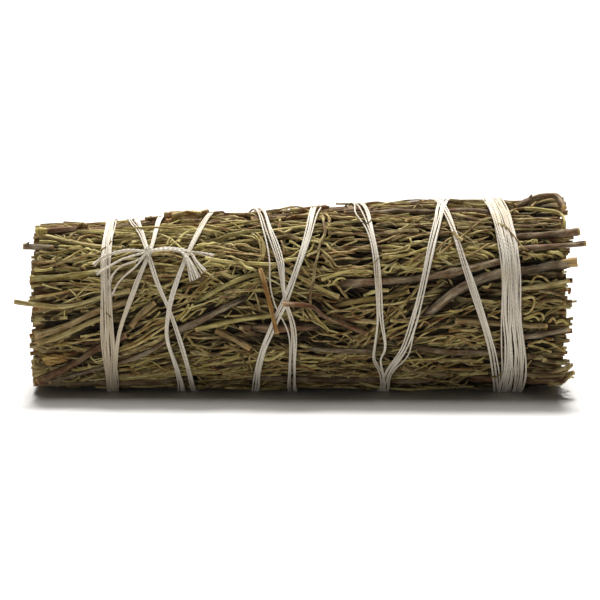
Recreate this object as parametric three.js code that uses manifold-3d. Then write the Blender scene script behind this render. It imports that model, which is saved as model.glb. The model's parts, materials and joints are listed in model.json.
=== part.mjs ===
// A smudge stick: dried woody stems and leafy sprigs laid side by side, cut square at both ends and
// bound with one long cotton thread. It lies on its flattened underside.
// Millimetres. X runs along the bundle from the leafy tips (-) to the thick cut ends (+), -Y is the
// front, Z is up, and the origin is on the ground under the middle.
// A place on the bundle is written as x, an angle round it in degrees (0 front, 90 top, 180 back,
// -90 underside) and a lift above its outer surface.

import * as THREE from "three";
import { mergeVertices } from "three/addons/utils/BufferGeometryUtils.js";
import Module from "manifold-3d";

// The bundle
const BUNDLE_LENGTH = 106;
const TIP_RADIUS = 17.3;
const MIDDLE_RADIUS = 18.9;
const BUTT_RADIUS = 20.3;
const WIDTH_SHARE = 1.03; // it has settled a little wider than high
const AXIS_DROP = 1.4; // how far its weight presses the round section down
const UNDERSIDE = 1.1; // height of the underside where the thread passes under it
const LEFT_BAND_X = -38.5;
const RIGHT_BAND_X = 42;
const BAND_BITE = 0.35; // how far a band of thread pulls the bundle in
const BAND_BITE_REACH = 9;

// The packed sprigs
const SPRIG_COLUMNS = 24;
const SPRIG_ROWS = 7;
const END_ROWS = 2; // rows of the mesh that lie on each cut end
const END_MIDDLE = 0.42; // share of the radius that the flat middle of a cut end takes
const SPRIG_DEPTH = 0.7; // the sprigs' mean surface lies this far below the stems' tops
const RIDGE = 0.75; // height of the ridges that sprigs make along the bundle
const RAGGED = 0.7; // unevenness of the cut ends
const PAD_HALF_ANGLE = 22; // the part of the underside that the bundle rests on

// The thread
const THREAD_THICK = 0.4;
const THREAD_LIFT = 0.6; // its inner side above the stems' tops, which it bridges
const HELIX_WIDTH = 1.5;
const LEFT_BAND_WIDTH = 2.4;
const RIGHT_BAND_WIDTH = 4.4;
const TAIL_WIDTH = 0.7;
const KNOT_SIZE = [1.4, 0.8, 1.3];
const STEP_DEGREES = 21; // one step of a ribbon of thread

const GAP = 0.3; // clearance between neighbouring pieces
const LOOK_AHEAD = 0.004; // share of a route over which its direction is read

const COLOURS = {
  greyBrown: 0x7b6a52,
  redBrown: 0x7a4f33,
  tan: 0xa18a5c,
  pale: 0xb2a374,
  yellowGreen: 0xa19550,
  olive: 0x777041,
  ochre: 0xb88f4b,
  grey: 0x847764,
  sprigs: 0x6f6839,
  cotton: 0xd3ccbb,
};

const wasm = await Module();
wasm.setup();

function radiusAt(x) {
  const along = x / (BUNDLE_LENGTH / 2);
  const taper = ((BUTT_RADIUS - TIP_RADIUS) / 2) * along;
  const flare = ((BUTT_RADIUS + TIP_RADIUS) / 2 - MIDDLE_RADIUS) * along ** 2;
  const bites = [LEFT_BAND_X, RIGHT_BAND_X].map((band) =>
    Math.exp(-(((x - band) / BAND_BITE_REACH) ** 2)),
  );
  return MIDDLE_RADIUS + taper + flare - BAND_BITE * (bites[0] + bites[1]);
}

function onBundle(x, degrees, lift) {
  const angle = THREE.MathUtils.degToRad(degrees);
  const radius = radiusAt(x) + lift;
  const middle = radiusAt(x) - AXIS_DROP;
  return new THREE.Vector3(
    x,
    -WIDTH_SHARE * radius * Math.cos(angle),
    Math.max(middle + radius * Math.sin(angle), UNDERSIDE - lift),
  );
}

function eachVertex(geometry, place) {
  const positions = geometry.attributes.position;
  for (let i = 0; i < positions.count; i++) {
    const moved = place(new THREE.Vector3().fromBufferAttribute(positions, i));
    positions.setXYZ(i, moved.x, moved.y, moved.z);
  }
  return geometry;
}

// Bends a geometry whose length is Y, from -0.5 to 0.5, along a route of [x, degrees, lift] points.
// Its X lies flat on the bundle and its Z points away from it. Ends are pushed out by overrun.
function layAlong(geometry, route, { lift = 0, overrun = 0, slant = 0, girth = () => 1 } = {}) {
  const points = route.map(([x, degrees, rise = 0]) => new THREE.Vector3(x, degrees, rise));
  const path = new THREE.CatmullRomCurve3(points);
  path.arcLengthDivisions = 60 * route.length;
  const middle = (t) => {
    const p = path.getPointAt(THREE.MathUtils.clamp(t, 0, 1));
    return [onBundle(p.x, p.y, p.z + lift), onBundle(p.x, p.y, p.z + lift + 1)];
  };
  return eachVertex(geometry, (local) => {
    const t = local.y + 0.5;
    const [here, above] = middle(t);
    const forward = middle(t + LOOK_AHEAD)[0].sub(middle(t - LOOK_AHEAD)[0]).normalize();
    const out = above.sub(here).projectOnPlane(forward).normalize();
    const side = new THREE.Vector3().crossVectors(forward, out);
    const end = t < 0.001 ? -1 : t > 0.999 ? 1 : 0;
    return here
      .addScaledVector(side, local.x * girth(t))
      .addScaledVector(out, local.z * girth(t))
      .addScaledVector(forward, end * overrun + Math.abs(end) * slant * local.x);
  });
}

function toSolid(geometry) {
  const bare = geometry.clone();
  bare.deleteAttribute("normal");
  bare.deleteAttribute("uv");
  const merged = mergeVertices(bare, 1e-4);
  return new wasm.Manifold(
    new wasm.Mesh({
      numProp: 3,
      vertProperties: merged.attributes.position.array,
      triVerts: new Uint32Array(merged.index.array),
    }),
  );
}

function toGeometry(solid) {
  const mesh = solid.getMesh();
  return new THREE.BufferGeometry()
    .setAttribute("position", new THREE.BufferAttribute(mesh.vertProperties, mesh.numProp))
    .setIndex(new THREE.BufferAttribute(mesh.triVerts, 1));
}

function named(name, geometry, colour, roughness = 0.9) {
  geometry.computeVertexNormals();
  const finish = new THREE.MeshStandardMaterial({ color: colour, roughness, metalness: 0 });
  const mesh = new THREE.Mesh(geometry, finish);
  mesh.name = name;
  return mesh;
}

// The woody stems
// Each has a thickness and a route; lift 0 puts its top level with the bundle's outer surface.
const STEMS = [
  // Stems that show at the leafy end, from the top down
  ["ochre_end_stem", "redBrown", 1.8, [[-53.8, 79], [-45, 83], [-33, 86], [-20, 82]]],
  ["pale_stem_upper_left", "pale", 0.9, [[-53.4, 72], [-47, 63], [-40, 55], [-36, 54]]],
  ["grey_stub", "grey", 1.1, [[-56.2, 60], [-50, 57]]],
  ["yellow_green_stem_left", "yellowGreen", 1.3, [[-54.5, 30], [-47, 32], [-40, 36], [-33, 38]]],
  ["pale_stem_long_tip", "pale", 0.9, [[-57.5, 14], [-53, 12], [-47, 11], [-40, 17], [-34, 20]]],
  ["grey_brown_stem_left", "greyBrown", 1.8, [[-53.8, -1, -1.8], [-42, -3, -1.8], [-33, 2, -1.8]]],
  ["tan_stem_left", "tan", 1.4, [[-53.4, -9], [-47, -3], [-40, 8], [-34, 14]]],
  ["pale_diagonal_stem_left", "pale", 1.2, [[-53, -15], [-48, -10], [-43, -2], [-38, 4]]],
  ["red_brown_stem_left", "redBrown", 1.4, [[-53.4, -54], [-47, -36], [-40, -19], [-35, -10]]],
  ["grey_stem_lower_left", "grey", 1.0, [[-51, -53], [-42, -39.5], [-34, -28], [-27, -16]]],
  ["thick_stem_lower_left", "greyBrown", 1.9, [[-54.4, -59], [-43, -56], [-30, -53], [-22, -52]]],
  // Stems between the left band and the middle
  ["tan_broken_stem", "tan", 1.2, [[-34, -4], [-32, 4], [-29, 11]]],
  ["yellow_green_stem_upper", "yellowGreen", 0.9, [[-22, 52], [-17, 55], [-12, 61], [-4, 63]]],
  ["yellow_green_stem_middle", "yellowGreen", 1.0, [[-23, 7], [-16, 18], [-11, 25], [-5, 30]]],
  ["grey_diagonal_stem", "grey", 1.4, [[-25, -8], [-18.5, 1], [-13, 9], [-8, 14]]],
  ["green_jointed_stem", "yellowGreen", 1.0, [[-21, -8], [-15, -4], [-11, -1], [-2, 1]]],
  ["broken_stick", "tan", 1.4, [[-17, -9], [-13, -16], [-10, -22]]],
  ["brown_stem_middle", "redBrown", 1.8, [[-12, -8], [0, -8], [6, -9]]],
  ["red_brown_stem_middle", "redBrown", 1.2, [[-20, -15, -1.9], [-7, -16, -1.9], [6, -17, -0.6]]],
  ["brown_stem_bottom", "greyBrown", 1.3, [[-14, -50], [2, -51], [14, -53], [30, -55]]],
  // Stems between the middle and the right band
  ["pale_stem_centre", "pale", 0.9, [[-3, 29], [2.5, 19], [8, 11]]],
  ["pink_grey_stem", "greyBrown", 1.5, [[6.5, 19], [15, 19], [23, 21], [33, 26], [42, 32]]],
  ["thick_forked_stem", "grey", 1.9, [[24, -6], [29, 7], [34, 18], [44, 25], [55.8, 28]]],
  ["olive_stem", "olive", 1.0, [[5, 4.5], [8, 6], [15, 9], [22, 13]]],
  ["grey_stem_lower", "grey", 1.0, [[-0.5, -23], [9, -24], [19, -28]]],
  ["bark_stem_lower_right", "greyBrown", 1.2, [[20, -22], [30, -26], [44, -28]]],
  ["tan_stem_lower_right", "tan", 0.9, [[20.7, -38.5], [24.5, -43], [31, -47]]],
  // Stems that show at the cut end, from the top down
  ["bent_top_stem", "greyBrown", 1.3, [[44, 81, 0.3], [47.6, 85, 1], [51.2, 84, 1.5], [53.8, 69, 0.4]]],
  ["brown_stem_upper_right", "greyBrown", 1.5, [[40.6, 47], [45, 48], [56.4, 49]]],
  ["thin_stem_long_tip", "greyBrown", 1.1, [[44, 39], [50, 38], [57.5, 40]]],
  ["pale_stem_right", "pale", 1.0, [[38, 11], [47, 14], [54, 17]]],
  ["tan_stub_right", "tan", 1.2, [[31.2, -5], [40, -7.5], [49.6, -8.5]]],
  ["grey_stem_right", "grey", 1.2, [[38, -18], [46, -16], [54, -11]]],
  ["curved_stem_lower_right", "tan", 1.0, [[41, -43], [50, -47], [53, -46], [55.6, -44]]],
  ["thick_stem_bottom_right", "redBrown", 1.9, [[32, -53], [43, -53], [53.6, -54]]],
  // Bark-covered stems along the top
  ["bark_stem_top_left", "redBrown", 1.8, [[-33, 99], [-20, 95], [-7, 93]]],
  ["bark_stem_top_middle", "redBrown", 1.6, [[-10, 77], [0, 85], [15, 88]]],
  ["bark_stem_top_right", "greyBrown", 1.4, [[9, 78], [28, 76], [42, 73]]],
  // Stems along the back, from the top down
  ["back_stem_1", "greyBrown", 1.5, [[-54, 112], [-30, 115], [-8, 110]]],
  ["back_stem_2", "redBrown", 1.7, [[2, 108], [26, 112], [54, 109]]],
  ["back_stem_3", "grey", 1.4, [[-44, 134], [-10, 128], [18, 131]]],
  ["back_stem_4", "tan", 1.3, [[-54, 152], [-32, 150], [-16, 144]]],
  ["back_stem_5", "greyBrown", 1.8, [[-2, 149], [22, 147], [54.6, 143]]],
  ["back_stem_6", "yellowGreen", 1.2, [[-40, 168], [-15, 172], [20, 166]]],
  ["back_stem_7", "redBrown", 1.6, [[-54, 188], [-30, 190], [0, 193]]],
  ["back_stem_8", "greyBrown", 1.7, [[12, 184], [34, 180], [54, 176]]],
  ["back_stem_9", "grey", 1.4, [[-36, 214], [-5, 216], [24, 209]]],
  ["back_stem_10", "tan", 1.5, [[28, 226], [40, 223], [54, 220]]],
  ["back_stem_11", "redBrown", 1.8, [[-54, 229], [-28, 231], [8, 229]]],
];

// Loose twigs that lie over the thread
const TWIG_THICK = 0.9;
const TWIG_SPARE = 0.2; // room for the bends of a twig
const OVER = THREAD_LIFT + THREAD_THICK + GAP + TWIG_THICK + TWIG_SPARE;
const LOOSE_TWIGS = [
  ["orange_twig", "ochre", 0.9, [[-8, 29, 0.9], [-7, 18, 2.1], [-5.7, 4, OVER], [-4.6, -9, OVER]]],
  ["crossing_twig", "redBrown", 0.9, [[-3.4, 8, OVER], [1, 8, OVER], [4.5, 0, 1.2], [13.4, -12, 0.9]]],
];

const STEM_SIDES = 6;
const STEM_TAPER = 0.12; // share of its thickness that a stem loses towards its tip
const KNOT_SWELL = 0.09; // how much a stem swells where a side shoot sat
const KNOT_PACE = 9; // a swelling about every two thirds of its length
const CUT_SLANT = 0.35;
const BED_HEIGHT = 6; // reaches from under a stem to well outside the bundle

function stepsFor(route) {
  return Math.max(3, route.length);
}

function stem([name, colour, thickness, route]) {
  const radius = thickness / 2;
  const rod = new THREE.CylinderGeometry(radius, radius, 1, STEM_SIDES, stepsFor(route));
  const swell = (t) => 1 - STEM_TAPER * (t - 0.25) + KNOT_SWELL * Math.sin(KNOT_PACE * t + name.length);
  layAlong(rod, route, { lift: -radius, girth: swell, slant: CUT_SLANT });
  return named(name, rod, COLOURS[colour]);
}

// The bed that a stem has pressed into the sprigs, open outwards
function stemBed([, , thickness, route]) {
  const radius = thickness / 2;
  const depth = radius * (1 + KNOT_SWELL) + GAP;
  const block = new THREE.BoxGeometry(2 * depth, 1, BED_HEIGHT, 1, stepsFor(route), 1);
  block.translate(0, 0, BED_HEIGHT / 2 - depth);
  layAlong(block, route, { lift: -radius, overrun: GAP + CUT_SLANT });
  return toSolid(block);
}

// A flat split of wood near the leafy end
const CHIP = {
  width: 2.4,
  thickness: 0.9,
  taper: 0.5, // share of its width that it loses towards its right end
  steps: 4,
  route: [[-51.8, -29.5], [-48, -28, -0.3], [-44.5, -26.5, -2.1]],
};

function ochreChip() {
  const split = new THREE.BoxGeometry(CHIP.width, 1, CHIP.thickness, 1, CHIP.steps, 1);
  const taper = (t) => 1 - CHIP.taper * t;
  layAlong(split, CHIP.route, { lift: -CHIP.thickness / 2, girth: taper, slant: CUT_SLANT });
  return named("ochre_chip", split, COLOURS.ochre);
}

// The small sprigs packed between the stems: their common form, ridged along the bundle, with
// ragged cut ends and pads underneath that bulge between the turns of thread
function ridgeAt(x, degrees) {
  const angle = THREE.MathUtils.degToRad(degrees);
  const coarse = 0.6 * Math.sin(13 * angle + 1.2 * Math.sin(x / 9));
  const fine = 0.4 * Math.sin(7 * angle - x / 11);
  return RIDGE * (coarse + fine);
}

function raggedEnd(degrees, reach) {
  const angle = THREE.MathUtils.degToRad(degrees);
  return RAGGED * Math.sin(13 * angle + 9 * reach) * Math.cos(8 * angle);
}

function packedSprigs() {
  const rows = SPRIG_ROWS + 2 * END_ROWS;
  const form = new THREE.CylinderGeometry(1, 1, 1, SPRIG_COLUMNS, rows);
  return eachVertex(form, (local) => {
    const row = Math.round((local.y + 0.5) * rows);
    const degrees = THREE.MathUtils.radToDeg(Math.atan2(local.x, -local.z));
    const inward = Math.max(0, END_ROWS - Math.min(row, rows - row)) / END_ROWS;
    const reach = Math.hypot(local.x, local.z) < 0.5 ? 0 : 1 - (1 - END_MIDDLE) * inward;
    const along = THREE.MathUtils.clamp((row - END_ROWS) / SPRIG_ROWS, 0, 1) - 0.5;
    const x = BUNDLE_LENGTH * along + Math.sign(along) * (inward > 0 ? raggedEnd(degrees, reach) : 0);
    const underneath = Math.abs(degrees + 90) < PAD_HALF_ANGLE;
    const wall = onBundle(x, degrees, underneath ? 0 : ridgeAt(x, degrees) - SPRIG_DEPTH);
    if (underneath) wall.z = 0;
    const middle = radiusAt(x) - AXIS_DROP;
    return new THREE.Vector3(x, wall.y * reach, middle + (wall.z - middle) * reach);
  });
}

// The thread: from the left band it passes the knot and winds to the right band in open turns, and
// back to the left band in others, which cross the first ones on the front
const KNOT = [-30.6, 44];
const TO_THE_RIGHT = [
  [-38.2, 215], [-37.6, 150], [-34.5, 100], [-33.6, 80], [-32, 62],
  KNOT, [-29, 25], [-25.5, 0], [-23, -28], [-20.6, -81],
  [-8.4, -267], [-6.5, -300], [-4.1, -328], [-3.1, -349], [-1.4, -367], [-1.5, -394], [-1, -433],
  [12.8, -639], [14.2, -665], [15.6, -694], [15.8, -723], [14.9, -748], [16.5, -761], [17.4, -793],
  [29.2, -1005], [32, -1040], [35.2, -1071], [38.8, -1106], [40.4, -1148], [41.6, -1195],
];
const TO_THE_LEFT = [
  [42.8, -432],
  [28.8, -645], [28, -661], [26, -688], [23, -724], [21, -742], [18, -760], [17, -793],
  [3.4, -981], [1.5, -1030], [-2.5, -1068], [-5, -1084], [-7.8, -1106], [-9.4, -1153],
  [-17.4, -1342], [-20, -1375], [-23, -1402], [-26, -1431], [-26.7, -1450], [-24.6, -1480],
  [-24, -1513], [-28.6, -1716], [-30.3, -1754], [-33, -1778], [-35.6, -1800], [-37, -1820],
  [-37.8, -1860], [-38.2, -1905],
];
// Each band starts and ends underneath, where the run of thread that joins it covers the seam
const LEFT_BAND = [
  [-38.2, 259.5], [-38.4, 180], [-38.8, 90], [-39.2, 47], [-38.8, 9], [-38.4, -20], [-38.2, -99.5],
];
const RIGHT_BAND = [
  [42.6, 259.5], [41, 180], [39.6, 90], [41.2, 55], [42.2, 30], [42.3, 0], [43.2, -30], [42.6, -99.5],
];
const TAILS = [
  [KNOT, [-34.8, 46.5], [-38, 45], [-40, 42], [-41.6, 37]],
  [KNOT, [-35.3, 41], [-38, 36.5], [-39.8, 33], [-41, 31]],
  [KNOT, [-32.8, 38], [-35.6, 36], [-37.4, 31], [-38.5, 23.5]],
  [KNOT, [-33, 34], [-35.6, 27.5], [-37, 22], [-37.6, 17]],
  [KNOT, [-27.8, 46], [-24.3, 42.5], [-20.6, 41], [-17.3, 38]],
  [KNOT, [-28, 45.2], [-25, 44.5], [-23.2, 39], [-21.3, 23]],
  [KNOT, [-28, 44.6], [-24.3, 43], [-22.4, 37], [-20.2, 24.5]],
  [KNOT, [-28, 45.8], [-22.6, 42], [-21, 35], [-19.5, 28]],
];

function ribbon(route, width, extra = 0) {
  let turned = 0;
  route.slice(1).forEach(([, degrees], i) => {
    turned += Math.abs(degrees - route[i][1]);
  });
  const steps = Math.max(3, Math.ceil(turned / STEP_DEGREES));
  const flat = new THREE.BoxGeometry(width + extra, 1, THREAD_THICK + extra, 1, steps, 1);
  return toSolid(layAlong(flat, route, { lift: THREAD_LIFT + THREAD_THICK / 2, overrun: extra / 2 }));
}

function knot() {
  const lump = new THREE.IcosahedronGeometry(1, 1).scale(...KNOT_SIZE);
  return toSolid(lump.translate(...onBundle(...KNOT, THREAD_LIFT + KNOT_SIZE[1]).toArray()));
}

function thread(extra = 0) {
  const runs = [
    ribbon(TO_THE_RIGHT, HELIX_WIDTH, extra),
    ribbon(TO_THE_LEFT, HELIX_WIDTH, extra),
    ribbon(LEFT_BAND, LEFT_BAND_WIDTH, extra),
    ribbon(RIGHT_BAND, RIGHT_BAND_WIDTH, extra),
  ];
  return runs.reduce((whole, run) => whole.add(run));
}

function tieThread() {
  const tails = TAILS.map((route) => ribbon(route, TAIL_WIDTH));
  return [knot(), ...tails].reduce((whole, piece) => whole.add(piece), thread());
}

const smudgeStick = new THREE.Group();
for (const each of STEMS) smudgeStick.add(stem(each));
for (const each of LOOSE_TWIGS) smudgeStick.add(stem(each));
smudgeStick.add(ochreChip());

const chipBed = stemBed(["", "", CHIP.width, CHIP.route]);
const beds = [...STEMS.map(stemBed), chipBed, thread(2 * GAP)];
const sprigs = beds.reduce((form, bed) => form.subtract(bed), toSolid(packedSprigs()));
smudgeStick.add(named("packed_sprigs", toGeometry(sprigs), COLOURS.sprigs));
smudgeStick.add(named("tie_thread", toGeometry(tieThread()), COLOURS.cotton));

export default smudgeStick;
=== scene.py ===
import json
import math

import bpy
import numpy as np
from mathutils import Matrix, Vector


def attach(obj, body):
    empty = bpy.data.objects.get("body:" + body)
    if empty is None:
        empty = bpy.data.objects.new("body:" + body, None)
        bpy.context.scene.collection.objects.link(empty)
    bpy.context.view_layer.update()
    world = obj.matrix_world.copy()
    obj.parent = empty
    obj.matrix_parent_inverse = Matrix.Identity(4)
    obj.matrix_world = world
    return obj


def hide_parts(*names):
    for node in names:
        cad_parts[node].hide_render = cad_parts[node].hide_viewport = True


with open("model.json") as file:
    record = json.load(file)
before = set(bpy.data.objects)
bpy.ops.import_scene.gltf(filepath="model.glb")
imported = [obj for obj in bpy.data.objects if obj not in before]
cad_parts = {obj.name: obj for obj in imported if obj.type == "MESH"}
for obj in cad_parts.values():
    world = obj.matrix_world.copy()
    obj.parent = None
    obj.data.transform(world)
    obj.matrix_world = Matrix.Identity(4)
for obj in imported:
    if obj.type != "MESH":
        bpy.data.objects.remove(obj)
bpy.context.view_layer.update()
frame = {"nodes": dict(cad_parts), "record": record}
bpy.ops.object.select_all(action="DESELECT")

# The studio: a pale floor, a broad light behind and above the bundle, which throws its shadow
# forward, a wide one straight above, a soft one low in front, and a camera with a long lens a
# little above the floor.
VIEW_WIDTH = 0.1238  # how much of the bundle's length the picture takes in
VIEW_HEIGHT = math.radians(9)
LENS, SENSOR = 200, 36
AIM = Vector((0, 0, 0.0176))

away = Vector((0, -math.cos(VIEW_HEIGHT), math.sin(VIEW_HEIGHT)))
bpy.ops.object.camera_add(location=AIM + away * VIEW_WIDTH * LENS / SENSOR)
camera = bpy.context.object
camera.rotation_euler = away.to_track_quat("Z", "Y").to_euler()
camera.data.lens = LENS
camera.data.sensor_width = SENSOR
camera.data.clip_start = 0.01
bpy.context.scene.camera = camera
bpy.context.scene.view_settings.view_transform = "Standard"

bpy.ops.mesh.primitive_plane_add(size=8)
floor = bpy.context.object
floor.name = "studio_floor"
paper = bpy.data.materials.new("pale_paper")
paper.use_nodes = True
paper_shader = paper.node_tree.nodes["Principled BSDF"]
paper_shader.inputs["Base Color"].default_value = (0.62, 0.605, 0.58, 1)
paper_shader.inputs["Roughness"].default_value = 0.7
floor.data.materials.append(paper)

BACK_LIGHT_HEIGHT = math.radians(60)
bpy.ops.object.light_add(
    type="SUN", rotation=(BACK_LIGHT_HEIGHT - math.pi / 2, 0, 0), location=(0, 0.5, 0.6)
)
back_light = bpy.context.object
back_light.name = "back_light"
back_light.data.energy = 6.8
back_light.data.angle = math.radians(20)

bpy.ops.object.light_add(type="AREA", location=(0, 0.05, 0.9))
top_light = bpy.context.object
top_light.name = "top_light"
top_light.data.size = 0.5
top_light.data.energy = 3.9

FRONT_LIGHT_PLACE = Vector((-0.20, -0.80, 0.07))
bpy.ops.object.light_add(type="AREA", location=FRONT_LIGHT_PLACE)
front_light = bpy.context.object
front_light.name = "front_light"
front_light.rotation_euler = (FRONT_LIGHT_PLACE - AIM).to_track_quat("Z", "Y").to_euler()
front_light.data.size = 0.12
front_light.data.energy = 0.7

sky = bpy.data.worlds.new("studio_sky")
sky.use_nodes = True
sky_shader = sky.node_tree.nodes["Background"]
sky_shader.inputs["Color"].default_value = (1, 1, 1, 1)
sky_shader.inputs["Strength"].default_value = 0.05
bpy.context.scene.world = sky

# The bundle's form: a round bundle, thicker towards the cut ends, pulled in under the two bands of
# thread and pressed flat underneath. A place on it is x, an angle round it in degrees (0 front,
# 90 top, 180 back, -90 underneath) and a lift above its outer surface.
MM = 0.001
BUNDLE_LENGTH = 0.106
TIP_RADIUS, MIDDLE_RADIUS, BUTT_RADIUS = 0.0173, 0.0189, 0.0203
WIDTH_SHARE = 1.03  # of its width to its height, since it has settled
AXIS_DROP = 0.0014  # how far its weight has pressed its middle down
UNDERSIDE = 0.0005  # height of its outer surface where it lies flat
LOWEST = 0.0002  # height that nothing goes below
BAND_PLACES = (-0.0385, 0.042)
BAND_BITE, BAND_BITE_REACH = 0.00035, 0.009


def radius_at(x):
    along = x / (BUNDLE_LENGTH / 2)
    taper = (BUTT_RADIUS - TIP_RADIUS) / 2 * along
    flare = ((BUTT_RADIUS + TIP_RADIUS) / 2 - MIDDLE_RADIUS) * along**2
    bites = sum(np.exp(-(((x - band) / BAND_BITE_REACH) ** 2)) for band in BAND_PLACES)
    return MIDDLE_RADIUS + taper + flare - BAND_BITE * bites


def outward(degrees):
    angle = np.radians(degrees)
    return np.stack([np.zeros_like(angle), -np.cos(angle), np.sin(angle)], axis=-1)


def on_bundle(x, degrees, lift):
    x, degrees, lift = np.broadcast_arrays(x, degrees, lift)
    radius = radius_at(x) + lift
    out = outward(degrees)
    height = radius_at(x) - AXIS_DROP + radius * out[..., 2]
    lowest = np.maximum(UNDERSIDE - lift, LOWEST)
    return np.stack([x, WIDTH_SHARE * radius * out[..., 1], np.maximum(height, lowest)], axis=-1)


def where_on_bundle(places):
    """x, degrees round the bundle and lift of points in space."""
    x, _, z = places.T
    up, front = z - radius_at(x) + AXIS_DROP, -places[:, 1] / WIDTH_SHARE
    return x, np.degrees(np.arctan2(up, front)), np.hypot(up, front) - radius_at(x)


PAINTED_SHADE_DEPTH = 0.0015  # depth at which the painted shade in the gaps between stems is full, near black
LIT_END = 0.0004  # how far in from its cut ends the bundle takes no painted shade


def painted_shade_share(places):
    """How much painted shade a place takes: 0 at the bundle's outside and at its cut ends, 1 deep in its
    gaps.
    """
    x, _, lift = where_on_bundle(places)
    inside = np.minimum(-lift, BUNDLE_LENGTH / 2 - LIT_END - np.abs(x))
    share = np.clip(inside / PAINTED_SHADE_DEPTH, 0, 1)
    return share * share * (3 - 2 * share)


# Finishes of dry plants. Every strand carries its own straight coordinates in millimetres
# ("grain"), a tone of its own and a mask of its cut ends ("cut"), so bark and fibres run along it.
def paint(red, green, blue):
    """A colour as a screen shows it, 0 to 255, made linear."""
    return tuple(((v / 255 + 0.055) / 1.055) ** 2.4 for v in (red, green, blue)) + (1.0,)


class Nodes:
    """Adds nodes to a tree; an input is a value or another node's output."""

    def __init__(self, tree):
        self.tree = tree

    def add(self, kind, inputs=None, **settings):
        made = self.tree.nodes.new(kind)
        for key, value in settings.items():
            setattr(made, key, value)
        for key, value in (inputs or {}).items():
            if isinstance(value, bpy.types.NodeSocket):
                self.tree.links.new(value, made.inputs[key])
            else:
                made.inputs[key].default_value = value
        return made

    def noise(self, vector, scale, stretch=(1, 1, 1), detail=3.0, roughness=0.6):
        placed = self.add("ShaderNodeMapping", {"Vector": vector, "Scale": stretch})
        made = self.add(
            "ShaderNodeTexNoise",
            {"Vector": placed.outputs[0], "Scale": scale, "Detail": detail, "Roughness": roughness},
        )
        return made.outputs["Fac"]

    def math(self, operation, first, second=0.5):
        return self.add("ShaderNodeMath", {0: first, 1: second}, operation=operation).outputs[0]

    def between(self, value, low, high):
        made = self.add("ShaderNodeMapRange", {"Value": value, "From Min": low, "From Max": high})
        return made.outputs[0]

    def mix(self, share, first, second):
        made = self.add("ShaderNodeMix", {0: share, 6: first, 7: second}, data_type="RGBA")
        return made.outputs[2]

    def ramp(self, value, stops):
        made = self.add("ShaderNodeValToRGB", {"Fac": value})
        line = made.color_ramp
        while len(line.elements) < len(stops):
            line.elements.new(0.5)
        for element, (place, colour) in zip(line.elements, stops, strict=True):
            element.position = place
            element.color = colour
        return made.outputs["Color"]


def new_group(name, inputs, outputs):
    group = bpy.data.node_groups.new(name, "ShaderNodeTree")
    for label, kind in inputs:
        group.interface.new_socket(label, in_out="INPUT", socket_type=kind)
    for label, kind in outputs:
        group.interface.new_socket(label, in_out="OUTPUT", socket_type=kind)
    nodes = Nodes(group)
    return group, nodes, nodes.add("NodeGroupInput").outputs


FLOAT, VECTOR, COLOUR = "NodeSocketFloat", "NodeSocketVector", "NodeSocketColor"

# Long fissures and ridges of bark, blotches of weathering, small dark flecks and peeled patches
bark_grain, n, given = new_group(
    "bark_grain",
    [("Grain", VECTOR)],
    [("Height", FLOAT), ("Blotches", FLOAT), ("Flecks", FLOAT), ("Peeled", FLOAT)],
)
ridges = n.noise(given["Grain"], 1.0, stretch=(0.16, 1.6, 1.6), detail=5, roughness=0.65)
fibres = n.noise(given["Grain"], 1.0, stretch=(0.5, 5.0, 5.0))
height = n.math("ADD", n.math("MULTIPLY", ridges, 0.7), n.math("MULTIPLY", fibres, 0.3))
blotches = n.noise(given["Grain"], 0.32, stretch=(0.8, 1.5, 1.5), detail=4)
flecks = n.noise(given["Grain"], 2.6, stretch=(0.6, 1.3, 1.3), detail=2)
peeled = n.noise(given["Grain"], 0.75, stretch=(0.35, 1.2, 1.2), detail=5, roughness=0.7)
bark_results = {
    "Height": n.between(height, 0.37, 0.63),
    "Blotches": n.between(blotches, 0.42, 0.60),
    "Flecks": n.between(flecks, 0.60, 0.72),
    "Peeled": n.between(peeled, 0.52, 0.62),
}
n.add("NodeGroupOutput", bark_results)

# The face of a cut stem: pale wood in rings round a darker pith
cut_wood, n, given = new_group(
    "cut_wood", [("Grain", VECTOR), ("Wood", COLOUR), ("Pith", COLOUR)], [("Color", COLOUR)]
)
across = n.add("ShaderNodeVectorMath", {0: given["Grain"], 1: (0, 1, 1)}, operation="MULTIPLY")
from_middle = n.add("ShaderNodeVectorMath", {0: across.outputs[0]}, operation="LENGTH")
rings = n.math("SINE", n.math("MULTIPLY", from_middle.outputs["Value"], 26.0))
mottle = n.noise(given["Grain"], 3.0)
ring_wood = n.mix(0.45, given["Wood"], given["Pith"])
wood = n.mix(n.between(rings, -1.6, 1.2), ring_wood, given["Wood"])
wood = n.mix(n.between(mottle, 0.5, 0.75), wood, given["Pith"])
n.add("NodeGroupOutput", {"Color": wood})

CUT_WOOD = (200, 166, 110)
PITH_SHARE = 0.62  # of the cut wood's brightness
# colour of the painted shade deep in the bundle's gaps
PAINTED_GAP_SHADE = (16, 10, 6)


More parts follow.
